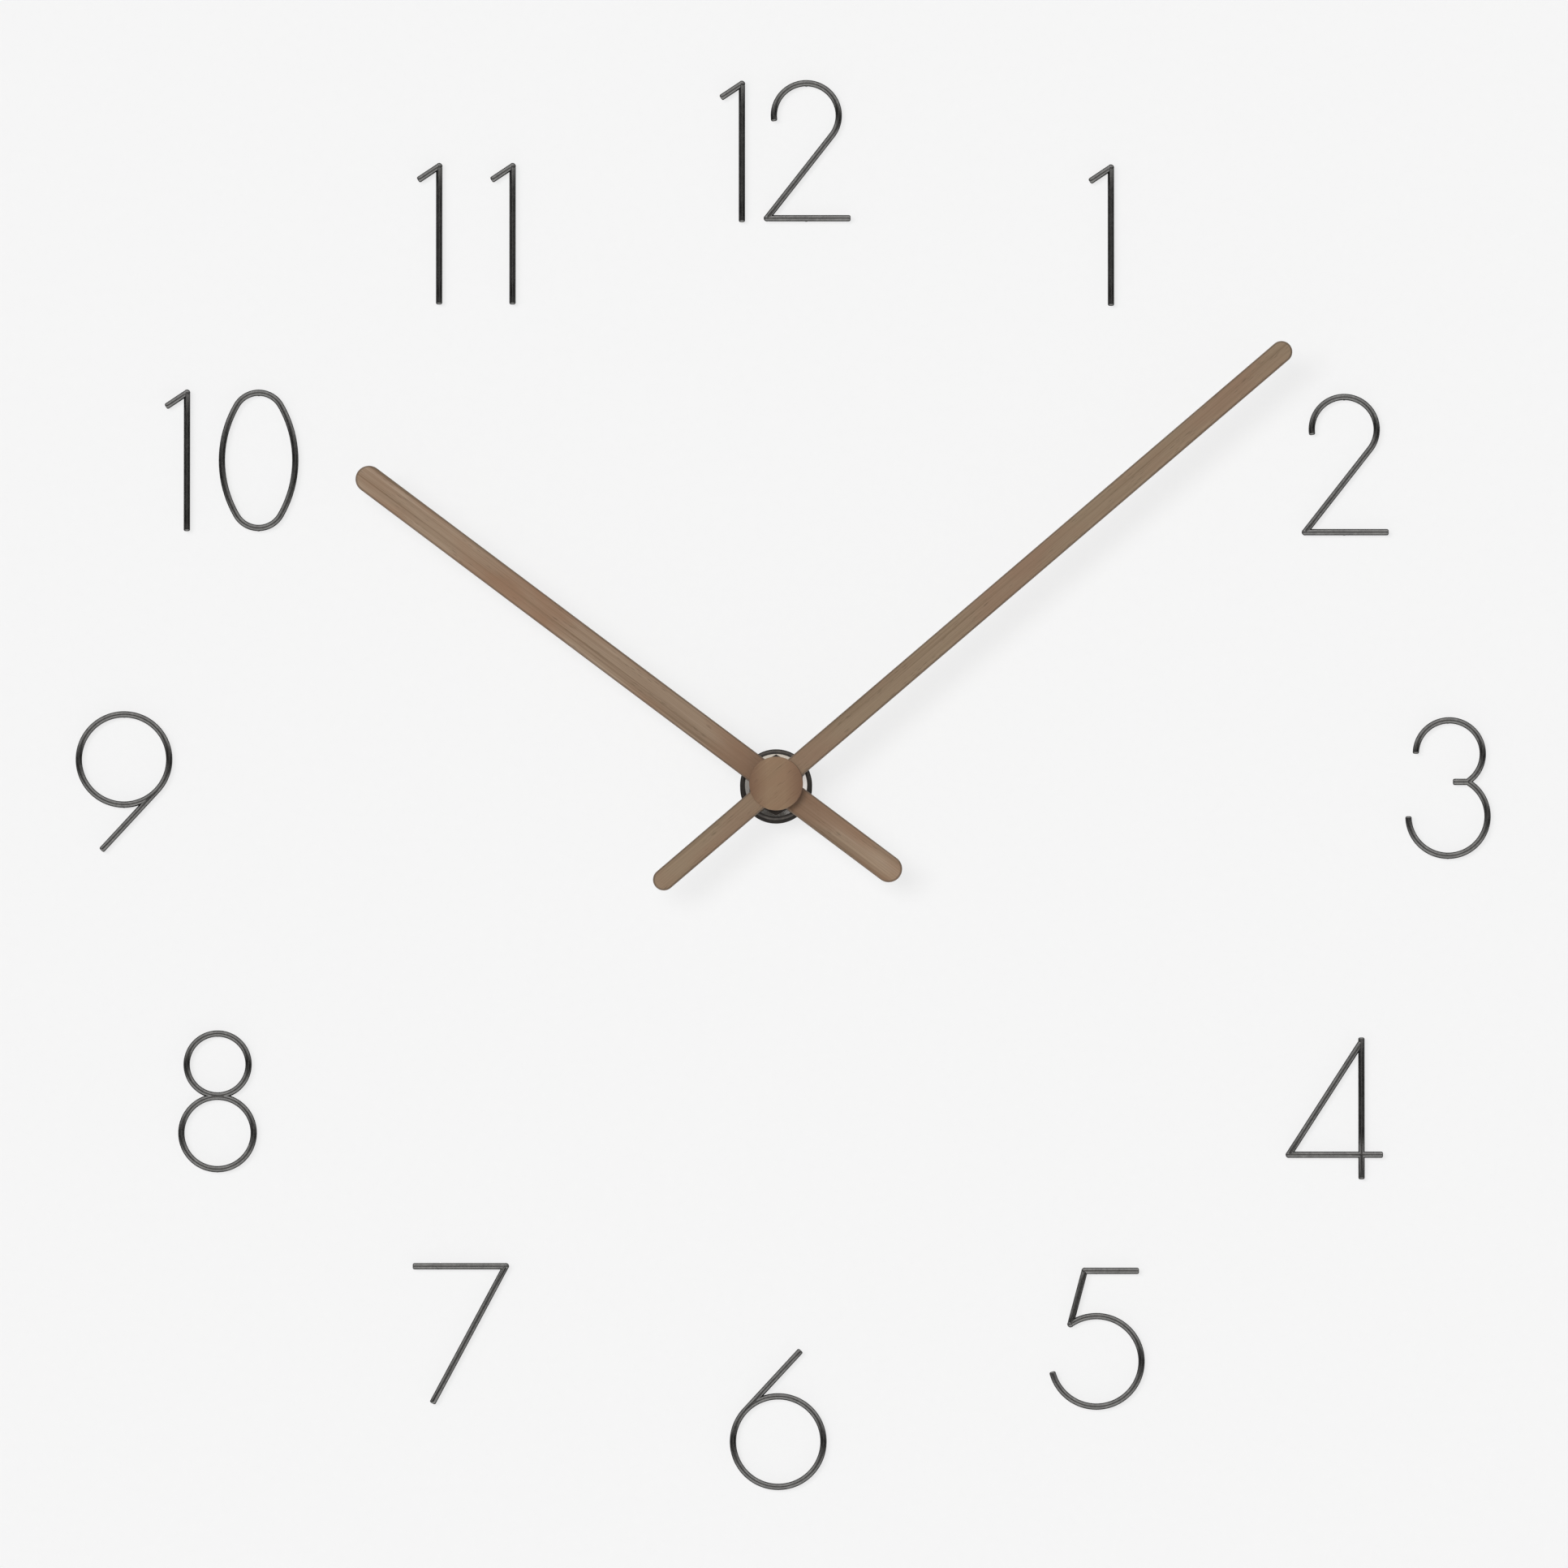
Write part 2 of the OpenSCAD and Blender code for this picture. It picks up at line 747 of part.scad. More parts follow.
// spokeless moulded wheel with a raised hub and four round lightening holes
module wheel(p, n, m, z, hole_r, ring, phase = 0) {
    difference() {
        gear(p, n, m, z, z + wheel_t, phase);
        for (k = [0:3]) post(on_circle(p, ring, 45 + 90 * k), hole_r, z - 1, z + wheel_t + 1);
    }
}

module second_wheel() {
    color("#ece6d2") front() union() {
        wheel(second_at, second_teeth, train_module, second_z, 1.6, 4.8);
        gear(second_at, second_pinion_teeth, train_module,
            centre_z - 0.4, second_z + skin, second_pinion_phase);
        post(second_at, pivot_r, chamber_z - 0.6, roof_z + 0.6);
    }
}

module centre_wheel() {
    color("#d7c690") front() difference() {
        union() {
            wheel(hub_axis, centre_teeth, train_module, centre_z, 2.2, 6.5);
            post(hub_axis, 2.4, centre_z - 0.6, centre_z + 1.6);
        }
        post(hub_axis, minute_arbor_r, centre_z - 1, centre_z + 2);
    }
}

// steel arbor with the cannon pinion, through the hour wheel's pipe to the minute hand
module minute_arbor() {
    color("#b8bbc0") front() union() {
        post(hub_axis, 0.8, chamber_z - 0.6, centre_z - 0.6);
        post(hub_axis, minute_arbor_r, centre_z - 0.6 - skin, cap_z - 0.6);
        gear(hub_axis, cannon_teeth, motion_module, motion_z - 0.3, motion_z + wheel_t + 0.4);
    }
}

module motion_wheel() {
    color("#ece6d2") front() difference() {
        union() {
            wheel(motion_at, motion_teeth, motion_module, motion_z, 1.1, 3.7, motion_phase);
            gear(motion_at, motion_pinion_teeth, hour_module,
                motion_z + wheel_t - skin, hour_wheel_z + wheel_t + 0.4, motion_pinion_phase);
        }
        post(motion_at, 0.85, motion_z - 1, hour_wheel_z + 3);
    }
}

// knurled thumb wheel behind the case, on a stem with a pinion in mesh with the motion wheel
module setting_knob() {
    knob_z = 8.5;
    color("#ece6d2") front() union() {
        difference() {
            post(knob_at, 4, knob_z, knob_z + 4);
            for (k = [0:17]) post(on_circle(knob_at, 4.15, 20 * k), 0.35, knob_z - 1, knob_z + 5);
        }
        post(knob_at, 1.2, knob_z + 4 - skin, motion_z + wheel_t);
        gear(knob_at, knob_teeth, motion_module, motion_z - 0.3, motion_z + wheel_t + 0.3, knob_phase);
        post(knob_at, pivot_r, motion_z, roof_z + 0.6);
    }
}

module hour_wheel() {
    color("#ece6d2") front() difference() {
        union() {
            wheel(hub_axis, hour_teeth, hour_module, hour_wheel_z, 1.1, 4.6);
            post(hub_axis, hour_pipe_r, hour_wheel_z, hour_z + hand_t);
        }
        post(hub_axis, hour_bore_r, hour_wheel_z - 1, hour_z + hand_t + 1);
    }
}

// ---- hands --------------------------------------------------------------------------------

module turned(clockwise) {
    rotate([0, 0, -clockwise]) children();
}

// flat bar with full round ends, along the drawing's y, with a hole on the axis
module hand(w, reach, tail, hole_r) {
    linear_extrude(height = hand_t) difference() {
        union() {
            translate([-w / 2, w / 2 - tail]) square([w, reach + tail - w]);
            translate([0, reach - w / 2]) circle(r = w / 2);
            translate([0, w / 2 - tail]) circle(r = w / 2);
        }
        circle(r = hole_r);
    }
}

// flat bar with full round ends, glued behind a hand's tail
module counterweight(w, t, near, far) {
    translate([0, 0, -t]) linear_extrude(height = t) union() {
        translate([-w / 2, w / 2 - far]) square([w, far - near - w]);
        translate([0, -near - w / 2]) circle(r = w / 2);
        translate([0, w / 2 - far]) circle(r = w / 2);
    }
}

hand_bush_r = 3.6;
hour_weight = [15, 2.7, 31, 105];
minute_weight = [12, 4.2, 22, 108.5];

module hour_hand() {
    color("#8a745f") front() turned(hour_at) translate([0, 0, hour_z])
        hand(hour_w, hour_reach, hour_tail, hand_bush_r);
}

// brass bush pressed into the hand, a push fit on the hour wheel's pipe
module hour_hand_bushing() {
    color("goldenrod") front() difference() {
        union() {
            post(hub_axis, 6, hour_z - 0.8, hour_z);
            post(hub_axis, hand_bush_r, hour_z - skin, hour_z + hand_t);
        }
        post(hub_axis, hour_pipe_r, hour_z - 2, hour_z + hand_t + 1);
    }
}

module hour_hand_counterweight() {
    color("#6e7073") front() turned(hour_at) translate([0, 0, hour_z])
        counterweight(hour_weight[0], hour_weight[1], hour_weight[2], hour_weight[3]);
}

module minute_hand() {
    color("#8c7560") front() turned(minute_at) translate([0, 0, minute_z])
        hand(minute_w, minute_reach, minute_tail, hand_bush_r);
}

// brass bush pressed into the hand, a push fit on the minute arbor
module minute_hand_bushing() {
    color("goldenrod") front() difference() {
        union() {
            post(hub_axis, 6, minute_z - 2.4, minute_z);
            post(hub_axis, hand_bush_r, minute_z - skin, cap_z);
        }
        post(hub_axis, minute_arbor_r, minute_z - 4, cap_z + 1);
    }
}

module minute_hand_counterweight() {
    color("#6e7073") front() turned(minute_at) translate([0, 0, minute_z])
        counterweight(minute_weight[0], minute_weight[1], minute_weight[2], minute_weight[3]);
}

// thin disc with an eased front edge, glued over the minute hand's middle
module minute_hand_cap() {
    ease = 0.5;
    color("#90785f") front() translate([0, 0, cap_z]) rotate_extrude($fn = 128) union() {
        square([cap_d / 2 - ease, cap_t]);
        square([cap_d / 2, cap_t - ease]);
        translate([cap_d / 2 - ease, cap_t - ease]) intersection() {
            circle(r = ease);
            square(ease);
        }
    }
}

numeral_12_one();
numeral_12_two();
numeral_1();
numeral_2();
numeral_3();
numeral_4();
numeral_5();
numeral_6();
numeral_7();
numeral_8();
numeral_9();
numeral_10_one();
numeral_10_zero();
numeral_11_left();
numeral_11_right();
wall_plate();
hub_shell();
hub_grub_screws();
hex_nut();
hex_plate();
gasket();
centre_bushing();
movement_cover();
movement_base();
case_screws();
battery_cell();
contact_positive();
contact_negative();
circuit_board();
quartz_crystal();
clock_chip();
stator();
coil_bobbin();
coil_winding();
rotor_pinion();
rotor_magnet();
second_wheel();
centre_wheel();
minute_arbor();
motion_wheel();
setting_knob();
hour_wheel();
hour_hand();
hour_hand_bushing();
hour_hand_counterweight();
minute_hand();
minute_hand_bushing();
minute_hand_counterweight();
minute_hand_cap();
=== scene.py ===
import json
import math

import bmesh
import bpy
from mathutils import Matrix, Vector


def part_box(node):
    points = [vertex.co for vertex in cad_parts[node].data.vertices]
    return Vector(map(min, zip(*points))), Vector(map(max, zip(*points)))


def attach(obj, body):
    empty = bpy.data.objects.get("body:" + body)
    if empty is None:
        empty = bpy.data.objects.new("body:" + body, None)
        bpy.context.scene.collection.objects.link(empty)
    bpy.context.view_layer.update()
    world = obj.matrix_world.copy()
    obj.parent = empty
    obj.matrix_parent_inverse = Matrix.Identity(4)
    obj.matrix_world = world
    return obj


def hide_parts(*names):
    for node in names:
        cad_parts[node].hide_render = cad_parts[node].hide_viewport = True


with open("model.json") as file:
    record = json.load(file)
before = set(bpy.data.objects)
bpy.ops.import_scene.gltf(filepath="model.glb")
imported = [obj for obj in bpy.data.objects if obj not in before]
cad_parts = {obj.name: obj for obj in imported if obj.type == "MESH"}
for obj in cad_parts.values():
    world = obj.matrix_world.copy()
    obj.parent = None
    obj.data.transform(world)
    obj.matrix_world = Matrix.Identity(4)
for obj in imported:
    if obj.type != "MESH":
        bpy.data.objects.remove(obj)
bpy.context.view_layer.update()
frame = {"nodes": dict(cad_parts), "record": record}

NODES = frame["nodes"]
BODIES = frame["record"]["behaviour"]["bodies"]
BODY_OF = {node: body for body, nodes in BODIES.items() for node in nodes}
MM = 0.001


# ---- node materials ------------------------------------------------------------------------

class Shader:
    """A material and short calls that add nodes to it."""

    def __init__(self, name):
        self.mat = bpy.data.materials.new(name)
        self.mat.use_nodes = True
        self.tree = self.mat.node_tree
        self.bsdf = self.tree.nodes["Principled BSDF"]
        self.coords = self.tree.nodes.new("ShaderNodeTexCoord")

    def node(self, kind, **settings):
        made = self.tree.nodes.new(kind)
        for key, value in settings.items():
            setattr(made, key, value)
        return made

    def join(self, source, socket):
        self.tree.links.new(source, socket)

    def feed(self, socket, value):
        if isinstance(value, bpy.types.NodeSocket):
            self.join(value, socket)
        else:
            socket.default_value = value

    def space(self, scale=(1, 1, 1), turn=(0, 0, 0), shift=(0, 0, 0)):
        """Object coordinates turned, then stretched, in metres."""
        turned = self.node("ShaderNodeMapping")
        turned.inputs["Rotation"].default_value = turn
        turned.inputs["Location"].default_value = shift
        self.join(self.coords.outputs["Object"], turned.inputs["Vector"])
        stretched = self.node("ShaderNodeMapping")
        stretched.inputs["Scale"].default_value = scale
        self.join(turned.outputs["Vector"], stretched.inputs["Vector"])
        return stretched.outputs["Vector"]

    def noise(self, vector, scale=1.0, detail=3.0, rough=0.5, warp=0.0):
        made = self.node("ShaderNodeTexNoise")
        made.inputs["Scale"].default_value = scale
        made.inputs["Detail"].default_value = detail
        made.inputs["Roughness"].default_value = rough
        made.inputs["Distortion"].default_value = warp
        self.join(vector, made.inputs["Vector"])
        return made.outputs["Fac"]

    def cells(self, vector, scale=1.0, feature="F1"):
        made = self.node("ShaderNodeTexVoronoi", feature=feature)
        made.inputs["Scale"].default_value = scale
        self.join(vector, made.inputs["Vector"])
        return made.outputs["Distance"]

    def ramp(self, fac, stops, smooth=False):
        made = self.node("ShaderNodeValToRGB")
        made.color_ramp.interpolation = "EASE" if smooth else "LINEAR"
        elements = made.color_ramp.elements
        while len(elements) < len(stops):
            elements.new(0.5)
        for element, (at, colour) in zip(elements, stops):
            element.position = at
            element.color = (*colour, 1)
        self.join(fac, made.inputs["Fac"])
        return made.outputs["Color"]

    def span(self, fac, low, high, at=0.0, to=1.0):
        """fac from at..to mapped to low..high."""
        made = self.node("ShaderNodeMapRange")
        for name, value in (("From Min", at), ("From Max", to), ("To Min", low), ("To Max", high)):
            made.inputs[name].default_value = value
        self.join(fac, made.inputs["Value"])
        return made.outputs["Result"]

    def axes(self, vector=None):
        """The x, y and z outputs of a vector, by default of the object's own coordinates."""
        made = self.node("ShaderNodeSeparateXYZ")
        self.join(self.coords.outputs["Object"] if vector is None else vector, made.inputs[0])
        return made.outputs

    def turned(self):
        """The distance from the Y axis, and a vector of it and y for the marks that turning leaves."""
        x, y, z = self.axes()
        squares = self.math("ADD", self.math("POWER", x, 2.0), self.math("POWER", z, 2.0))
        radius = self.math("SQRT", squares)
        made = self.node("ShaderNodeCombineXYZ")
        self.join(radius, made.inputs[0])
        self.join(y, made.inputs[1])
        return radius, made.outputs[0]

    def math(self, operation, a, b=0.0):
        made = self.node("ShaderNodeMath", operation=operation)
        self.feed(made.inputs[0], a)
        self.feed(made.inputs[1], b)
        return made.outputs[0]

    def mix(self, fac, a, b, blend="MIX"):
        made = self.node("ShaderNodeMix", data_type="RGBA", blend_type=blend)
        self.feed(made.inputs[0], fac)
        self.feed(made.inputs[6], a if isinstance(a, bpy.types.NodeSocket) else (*a, 1))
        self.feed(made.inputs[7], b if isinstance(b, bpy.types.NodeSocket) else (*b, 1))
        return made.outputs[2]

    def attribute(self, name):
        return self.node("ShaderNodeAttribute", attribute_name=name).outputs["Fac"]

    def bump(self, height, distance, strength):
        made = self.node("ShaderNodeBump")
        made.inputs["Strength"].default_value = strength
        made.inputs["Distance"].default_value = distance
        self.join(height, made.inputs["Height"])
        self.join(made.outputs["Normal"], self.bsdf.inputs["Normal"])

    def set(self, **values):
        names = {
            "colour": "Base Color", "metal": "Metallic", "rough": "Roughness", "ior": "IOR",
            "spec": "Specular IOR Level", "coat": "Coat Weight", "coat_rough": "Coat Roughness",
            "tint": "Specular Tint",
        }
        for key, value in values.items():
            if isinstance(value, tuple):
                value = (*value, 1)
            self.feed(self.bsdf.inputs[names[key]], value)


def worn(s, lift=1.0):
    """0..1, high where the surface turns sharply outward: the edges that handling polishes."""
    geometry = s.node("ShaderNodeNewGeometry")
    return s.span(geometry.outputs["Pointiness"], 0, lift, 0.52, 0.62)


# metres from the hands' axis
SHADED_REDDER_WITHIN, DISC_SHADED_SIDES = (0.016, 0.055), (0.006, 0.020)
PALER_TO_TIP, PALER_TO_TAIL = (0.04, 0.30), (-0.05, -0.09)


def walnut(name, tone, centre_shade_red, ends=(1.0, 1.0), disc_turn=None, contrast=1.0, painted_edge_shade=0.75):
    """Satin walnut with its grain along the piece's own Z, and painted shade on its eased edges.

    tone is the pale, middle, dark and red colour. centre_shade_red says how much darker and redder it is
    round the axis:
    a redder tone, and on the hour hand painted shade under the cap and the minute hand. ends how much
    paler the tip and the tail are. disc_turn, in degrees, gives a disc painted shade: darker, redder left
    and right sides."""
    s = Shader(name)
    pale, mid, dark, red = tone
    fibre = s.noise(s.space((950, 950, 17)), 1, 4, 0.62)
    band = s.noise(s.space((230, 60, 2.4), shift=(0.3, 0, 0.1)), 1, 3, 0.55, 0.6)
    drift = s.noise(s.space((35, 20, 13.0), shift=(1.7, 0, 0.6)), 1, 2, 0.5)
    spread = 0.20 / contrast
    colour = s.ramp(band, [(0.50 - spread, dark), (0.50, mid), (min(1.0, 0.50 + spread), pale)],
                    smooth=True)
    colour = s.mix(s.span(drift, 0, 0.85, 0.42, 0.64), colour, red)
    colour = s.mix(s.span(fibre, 0.0, 0.5 * contrast, 0.44, 0.68), colour, dark)
    pore = s.span(s.cells(s.space((1500, 1500, 95), shift=(0.9, 0, 0.4))), 1, 0, 0.10, 0.30)
    seldom = s.span(s.noise(s.space((260, 100, 30), shift=(4, 0, 2)), 1, 1), 0, 1, 0.50, 0.62)
    pore = s.math("MULTIPLY", pore, seldom)
    colour = s.mix(s.math("MULTIPLY", pore, 0.7), colour, tuple(0.3 * c for c in dark))
    length = s.node("ShaderNodeVectorMath", operation="LENGTH")
    s.join(s.coords.outputs["Object"], length.inputs[0])
    # darker and redder round the axis: a redder tone, and on the hour hand painted shade under the cap
    # and the minute hand
    middle = s.span(length.outputs["Value"], centre_shade_red, 0, *SHADED_REDDER_WITHIN)
    colour = s.mix(middle, colour, tuple(0.72 * c for c in red))
    along = s.axes()[2]
    lift = s.math("MULTIPLY", s.span(along, 1.0, ends[0], *PALER_TO_TIP),
                  s.span(along, 1.0, ends[1], *PALER_TO_TAIL))
    colour = s.mix(1.0, colour, lift, "MULTIPLY")
    # painted shade: with the disc turned back upright, its left and right sides are made darker and
    # redder
    if disc_turn is not None:
        across = s.axes(s.space(turn=(0, math.radians(disc_turn), 0)))[0]
        flank = s.span(s.math("ABSOLUTE", across), 0, 0.85, *DISC_SHADED_SIDES)
        colour = s.mix(flank, colour, (0.52 * red[0], 0.45 * red[1], 0.44 * red[2]))
    # painted shade: the eased edges and sides are darkened towards the dark tone, as if turned away from
    # the light
    eased = s.math("POWER", s.attribute("eased"), 0.3)
    colour = s.mix(s.math("MULTIPLY", eased, painted_edge_shade), colour, tuple(0.38 * c for c in dark))
    s.set(colour=colour, rough=s.span(fibre, 0.42, 0.60, 0.3, 0.7), ior=1.5, spec=0.25, coat=0.04,
          coat_rough=0.34)
    height = s.math("SUBTRACT", s.math("MULTIPLY", fibre, 0.35), s.math("MULTIPLY", pore, 0.8))
    s.bump(height, 0.0001, 0.6)
    return s.mat


def metal(name, pale, dark, rough, spin=False, mottle=300, tarnish=0.25, depth=0.00002, edge=1.0):
    """Bare or plated metal: cloudy tone, fine scratches or turning marks, brighter worn edges.

    edge is how bright its reflection is at a grazing angle."""
    s = Shader(name)
    cloud = s.noise(s.space((mottle,) * 3), 1, 4, 0.6)
    if spin:
        lines = s.noise(s.turned()[1], 9000, 2, 0.6)
    else:
        lines = s.noise(s.space((2600, 2600, 120)), 1, 3, 0.6)
    fine = s.noise(s.space((4000,) * 3), 1, 2, 0.5)
    colour = s.mix(s.span(cloud, 0, 1, 0.35, 0.68), pale, dark)
    colour = s.mix(s.span(lines, 0, 0.35, 0.5, 0.75), colour, dark)
    colour = s.mix(worn(s, 0.5), colour, tuple(min(1, 1.35 * c) for c in pale))
    grimy = s.noise(s.space((90,) * 3, shift=(2, 1, 0)), 1, 5, 0.65)
    colour = s.mix(s.span(grimy, 0, tarnish, 0.5, 0.75), colour, tuple(0.55 * c for c in dark))
    roughness = s.math("ADD", s.span(lines, rough - 0.04, rough + 0.04, 0.3, 0.7),
                       s.span(grimy, 0, 0.12, 0.5, 0.8))
    s.set(colour=colour, metal=1.0, rough=roughness, tint=(edge, edge, edge))
    s.bump(s.math("ADD", lines, s.math("MULTIPLY", fine, 0.4)), depth, 0.5)
    return s.mat


# metres from the axis, then the surface normal's y, between which one finish gives way to the next
FACE_EDGE, BEVEL_NORMAL, SIDE_NORMAL = (0.02180, 0.02205), (-0.975, -0.955), (-0.80, -0.45)


def two_tone(name):
    """Turned part with a face cut bright, black nickel on its rounded rim and matt black on its side."""
    s = Shader(name)
    radius, spun = s.turned()
    lines = s.noise(spun, 5200, 3, 0.6)
    wobble = s.noise(s.space((260,) * 3), 1, 3, 0.55)
    fine = s.noise(s.space((3500,) * 3), 1, 2, 0.5)
    facing = s.axes(s.node("ShaderNodeNewGeometry").outputs["Normal"])[1]
    rim = s.span(radius, 0, 1, *FACE_EDGE)
    steep = s.span(facing, 0, 1, *BEVEL_NORMAL)
    dark = s.math("MAXIMUM", rim, steep)
    bright = s.mix(s.span(lines, 0, 1, 0.35, 0.65), (0.57, 0.555, 0.53), (0.50, 0.485, 0.465))
    black = s.mix(s.span(wobble, 0, 1, 0.35, 0.65), (0.042, 0.038, 0.034), (0.030, 0.027, 0.025))
    black = s.mix(worn(s, 0.3), black, (0.08, 0.076, 0.072))
    colour = s.mix(dark, bright, black)
    satin = s.math("ADD", s.span(lines, 0.07, 0.12, 0.3, 0.7), s.math("MULTIPLY", dark, 0.30))
    flank = s.span(facing, 0, 1, *SIDE_NORMAL)
    satin = s.math("ADD", satin, s.math("MULTIPLY", flank, 0.25))
    satin = s.math("ADD", satin, s.span(wobble, 0, 0.04, 0.4, 0.7))
    s.set(colour=colour, metal=s.span(flank, 1, 0), rough=satin, tint=(0.2, 0.2, 0.2), spec=0.0)
    s.bump(s.math("ADD", lines, s.math("MULTIPLY", fine, 0.3)), 0.000004, 0.5)
    return s.mat


def moulded(name, base, shade, rough, grain=2500, depth=0.00003, spec=0.5, spots=None):
    """Moulded plastic, resin or rubber: fine spark-eroded grain, flow clouds and rubbed edges."""
    s = Shader(name)
    cloud = s.noise(s.space((140,) * 3), 1, 3, 0.55)
    fine = s.noise(s.space((grain,) * 3), 1, 3, 0.6)
    pit = s.cells(s.space((grain * 0.6,) * 3))
    colour = s.mix(s.span(cloud, 0, 1, 0.3, 0.7), base, shade)
    colour = s.mix(s.span(fine, 0, 0.3, 0.4, 0.7), colour, tuple(0.8 * c for c in shade))
    colour = s.mix(worn(s, 0.35), colour, tuple(min(1, 1.5 * c + 0.02) for c in base))
    if spots:
        fleck = s.span(s.cells(s.space((900,) * 3)), 1, 0, 0.05, 0.2)
        colour = s.mix(s.math("MULTIPLY", fleck, 0.6), colour, spots)
    s.set(colour=colour, rough=s.span(fine, rough - 0.06, rough + 0.08, 0.3, 0.7), spec=spec)
    s.bump(s.math("ADD", fine, s.math("MULTIPLY", pit, 0.5)), depth, 0.7)
    return s.mat


WIRE_PITCH = 0.12 * MM


def winding(name):
    """Enamelled copper wire laid in close turns about the coil's X axis, with a painted highlight on each
    turn and painted shade between turns.
    """
    s = Shader(name)
    turn = s.math("SINE", s.math("MULTIPLY", s.axes()[0], 2 * math.pi / WIRE_PITCH))
    loose = s.noise(s.space((700,) * 3), 1, 3, 0.5)
    # painted highlight and shade: each turn of wire is bright on its crown and dark in the groove beside
    # it
    colour = s.mix(s.span(turn, 0, 1, -1, 1), (0.22, 0.06, 0.02), (0.72, 0.27, 0.09))
    colour = s.mix(s.span(loose, 0, 0.4, 0.45, 0.7), colour, (0.50, 0.13, 0.03))
    s.set(colour=colour, metal=1.0, rough=s.span(loose, 0.22, 0.36, 0.3, 0.7))
    s.bump(turn, 0.00003, 0.8)
    return s.mat


def board(name):
    """Green solder mask over a woven laminate, with paler tracks beneath it."""
    s = Shader(name)
    weave = s.node("ShaderNodeTexChecker")
    s.join(s.space((1600,) * 3), weave.inputs["Vector"])
    weave.inputs["Scale"].default_value = 1
    track = s.cells(s.space((420,) * 3), 1, "DISTANCE_TO_EDGE")
    colour = s.mix(weave.outputs["Fac"], (0.016, 0.090, 0.040), (0.020, 0.105, 0.047))
    colour = s.mix(s.span(track, 0.6, 0, 0.04, 0.10), colour, (0.05, 0.20, 0.09))
    s.set(colour=colour, rough=s.span(track, 0.30, 0.42, 0, 0.3), coat=0.3, coat_rough=0.2)
    s.bump(track, 0.00003, 0.5)
    return s.mat


BAND_START, TERMINAL_START = 0.0105, 0.02195


def jacket(name):
    """Film of a dry cell: two plain colour fields along X, a steel terminal and fine sleeve texture."""
    s = Shader(name)
    along = s.axes()[0]
    fine = s.noise(s.space((60, 1800, 1800)), 1, 3, 0.6)
    band = s.span(along, 0, 1, BAND_START, BAND_START + 0.0002)
    colour = s.mix(band, (0.035, 0.045, 0.055), (0.50, 0.28, 0.09))
    terminal = s.span(along, 0, 1, TERMINAL_START, TERMINAL_START + 0.00015)
    colour = s.mix(terminal, colour, (0.62, 0.61, 0.58))
    colour = s.mix(s.span(fine, 0, 0.25, 0.4, 0.7), colour, (0.02, 0.02, 0.022))
    s.set(colour=colour, metal=0.35, rough=s.span(fine, 0.25, 0.38, 0.3, 0.7))
    s.bump(fine, 0.00002, 0.4)
    return s.mat


# pale, middle, dark and red
HOUR_TONE = ((0.421, 0.318, 0.232), (0.331, 0.237, 0.161), (0.202, 0.133, 0.083), (0.284, 0.164, 0.098))
MINUTE_TONE = ((0.354, 0.262, 0.175), (0.296, 0.214, 0.139), (0.187, 0.125, 0.076), (0.285, 0.180, 0.116))

LOOKS = {
    "graphite_rod": metal("graphite_rod", (0.088, 0.087, 0.084), (0.060, 0.059, 0.058), 0.24,
                          mottle=420, tarnish=0.3, depth=0.00003, edge=0.2),
    "graphite_hub": two_tone("graphite_hub"),
    "plated_steel": metal("plated_steel", (0.62, 0.62, 0.61), (0.48, 0.48, 0.47), 0.27, tarnish=0.2),
    "black_steel": metal("black_steel", (0.042, 0.036, 0.032), (0.024, 0.020, 0.018), 0.38,
                         tarnish=0.3, edge=0.4),
    "bare_steel": metal("bare_steel", (0.48, 0.475, 0.465), (0.33, 0.325, 0.315), 0.34, tarnish=0.35),
    "soft_iron": metal("soft_iron", (0.46, 0.46, 0.45), (0.34, 0.335, 0.33), 0.42, tarnish=0.35),
    "spring_contact": metal("spring_contact", (0.68, 0.66, 0.60), (0.56, 0.54, 0.48), 0.24, tarnish=0.2),
    "brass": metal("brass", (0.78, 0.56, 0.26), (0.60, 0.40, 0.16), 0.25, spin=True, tarnish=0.25),
    "rubber": moulded("rubber", (0.020, 0.020, 0.021), (0.012, 0.012, 0.013), 0.72, 3000, 0.00004),
    "dark_plastic": moulded("dark_plastic", (0.030, 0.031, 0.033), (0.020, 0.021, 0.023), 0.48),
    "white_plastic": moulded("white_plastic", (0.74, 0.71, 0.62), (0.66, 0.62, 0.52), 0.38, 2200),
    "bobbin_plastic": moulded("bobbin_plastic", (0.70, 0.64, 0.52), (0.60, 0.54, 0.42), 0.42, 2200),
    "chip_resin": moulded("chip_resin", (0.010, 0.010, 0.011), (0.006, 0.006, 0.007), 0.30, 1500, 0.00005,
                          spots=(0.03, 0.03, 0.03)),
    "copper_winding": winding("copper_winding"),
    "circuit_board": board("circuit_board"),
    "cell_jacket": jacket("cell_jacket"),
    "hour_walnut": walnut("hour_walnut", HOUR_TONE, centre_shade_red=0.75, ends=(1.10, 1.17)),
    "minute_walnut": walnut("minute_walnut", MINUTE_TONE, centre_shade_red=0.15, ends=(1.0, 1.06),
                            contrast=0.75),
}


SLOT_OF = {node: part.data.materials[0].name.split(".")[0] for node, part in NODES.items()}
for node, part in NODES.items():
    part.material_slots[0].link = "OBJECT"
    part.material_slots[0].material = LOOKS[SLOT_OF[node]]


# ---- meshes --------------------------------------------------------------------------------

SHARP_FROM = math.radians(42)


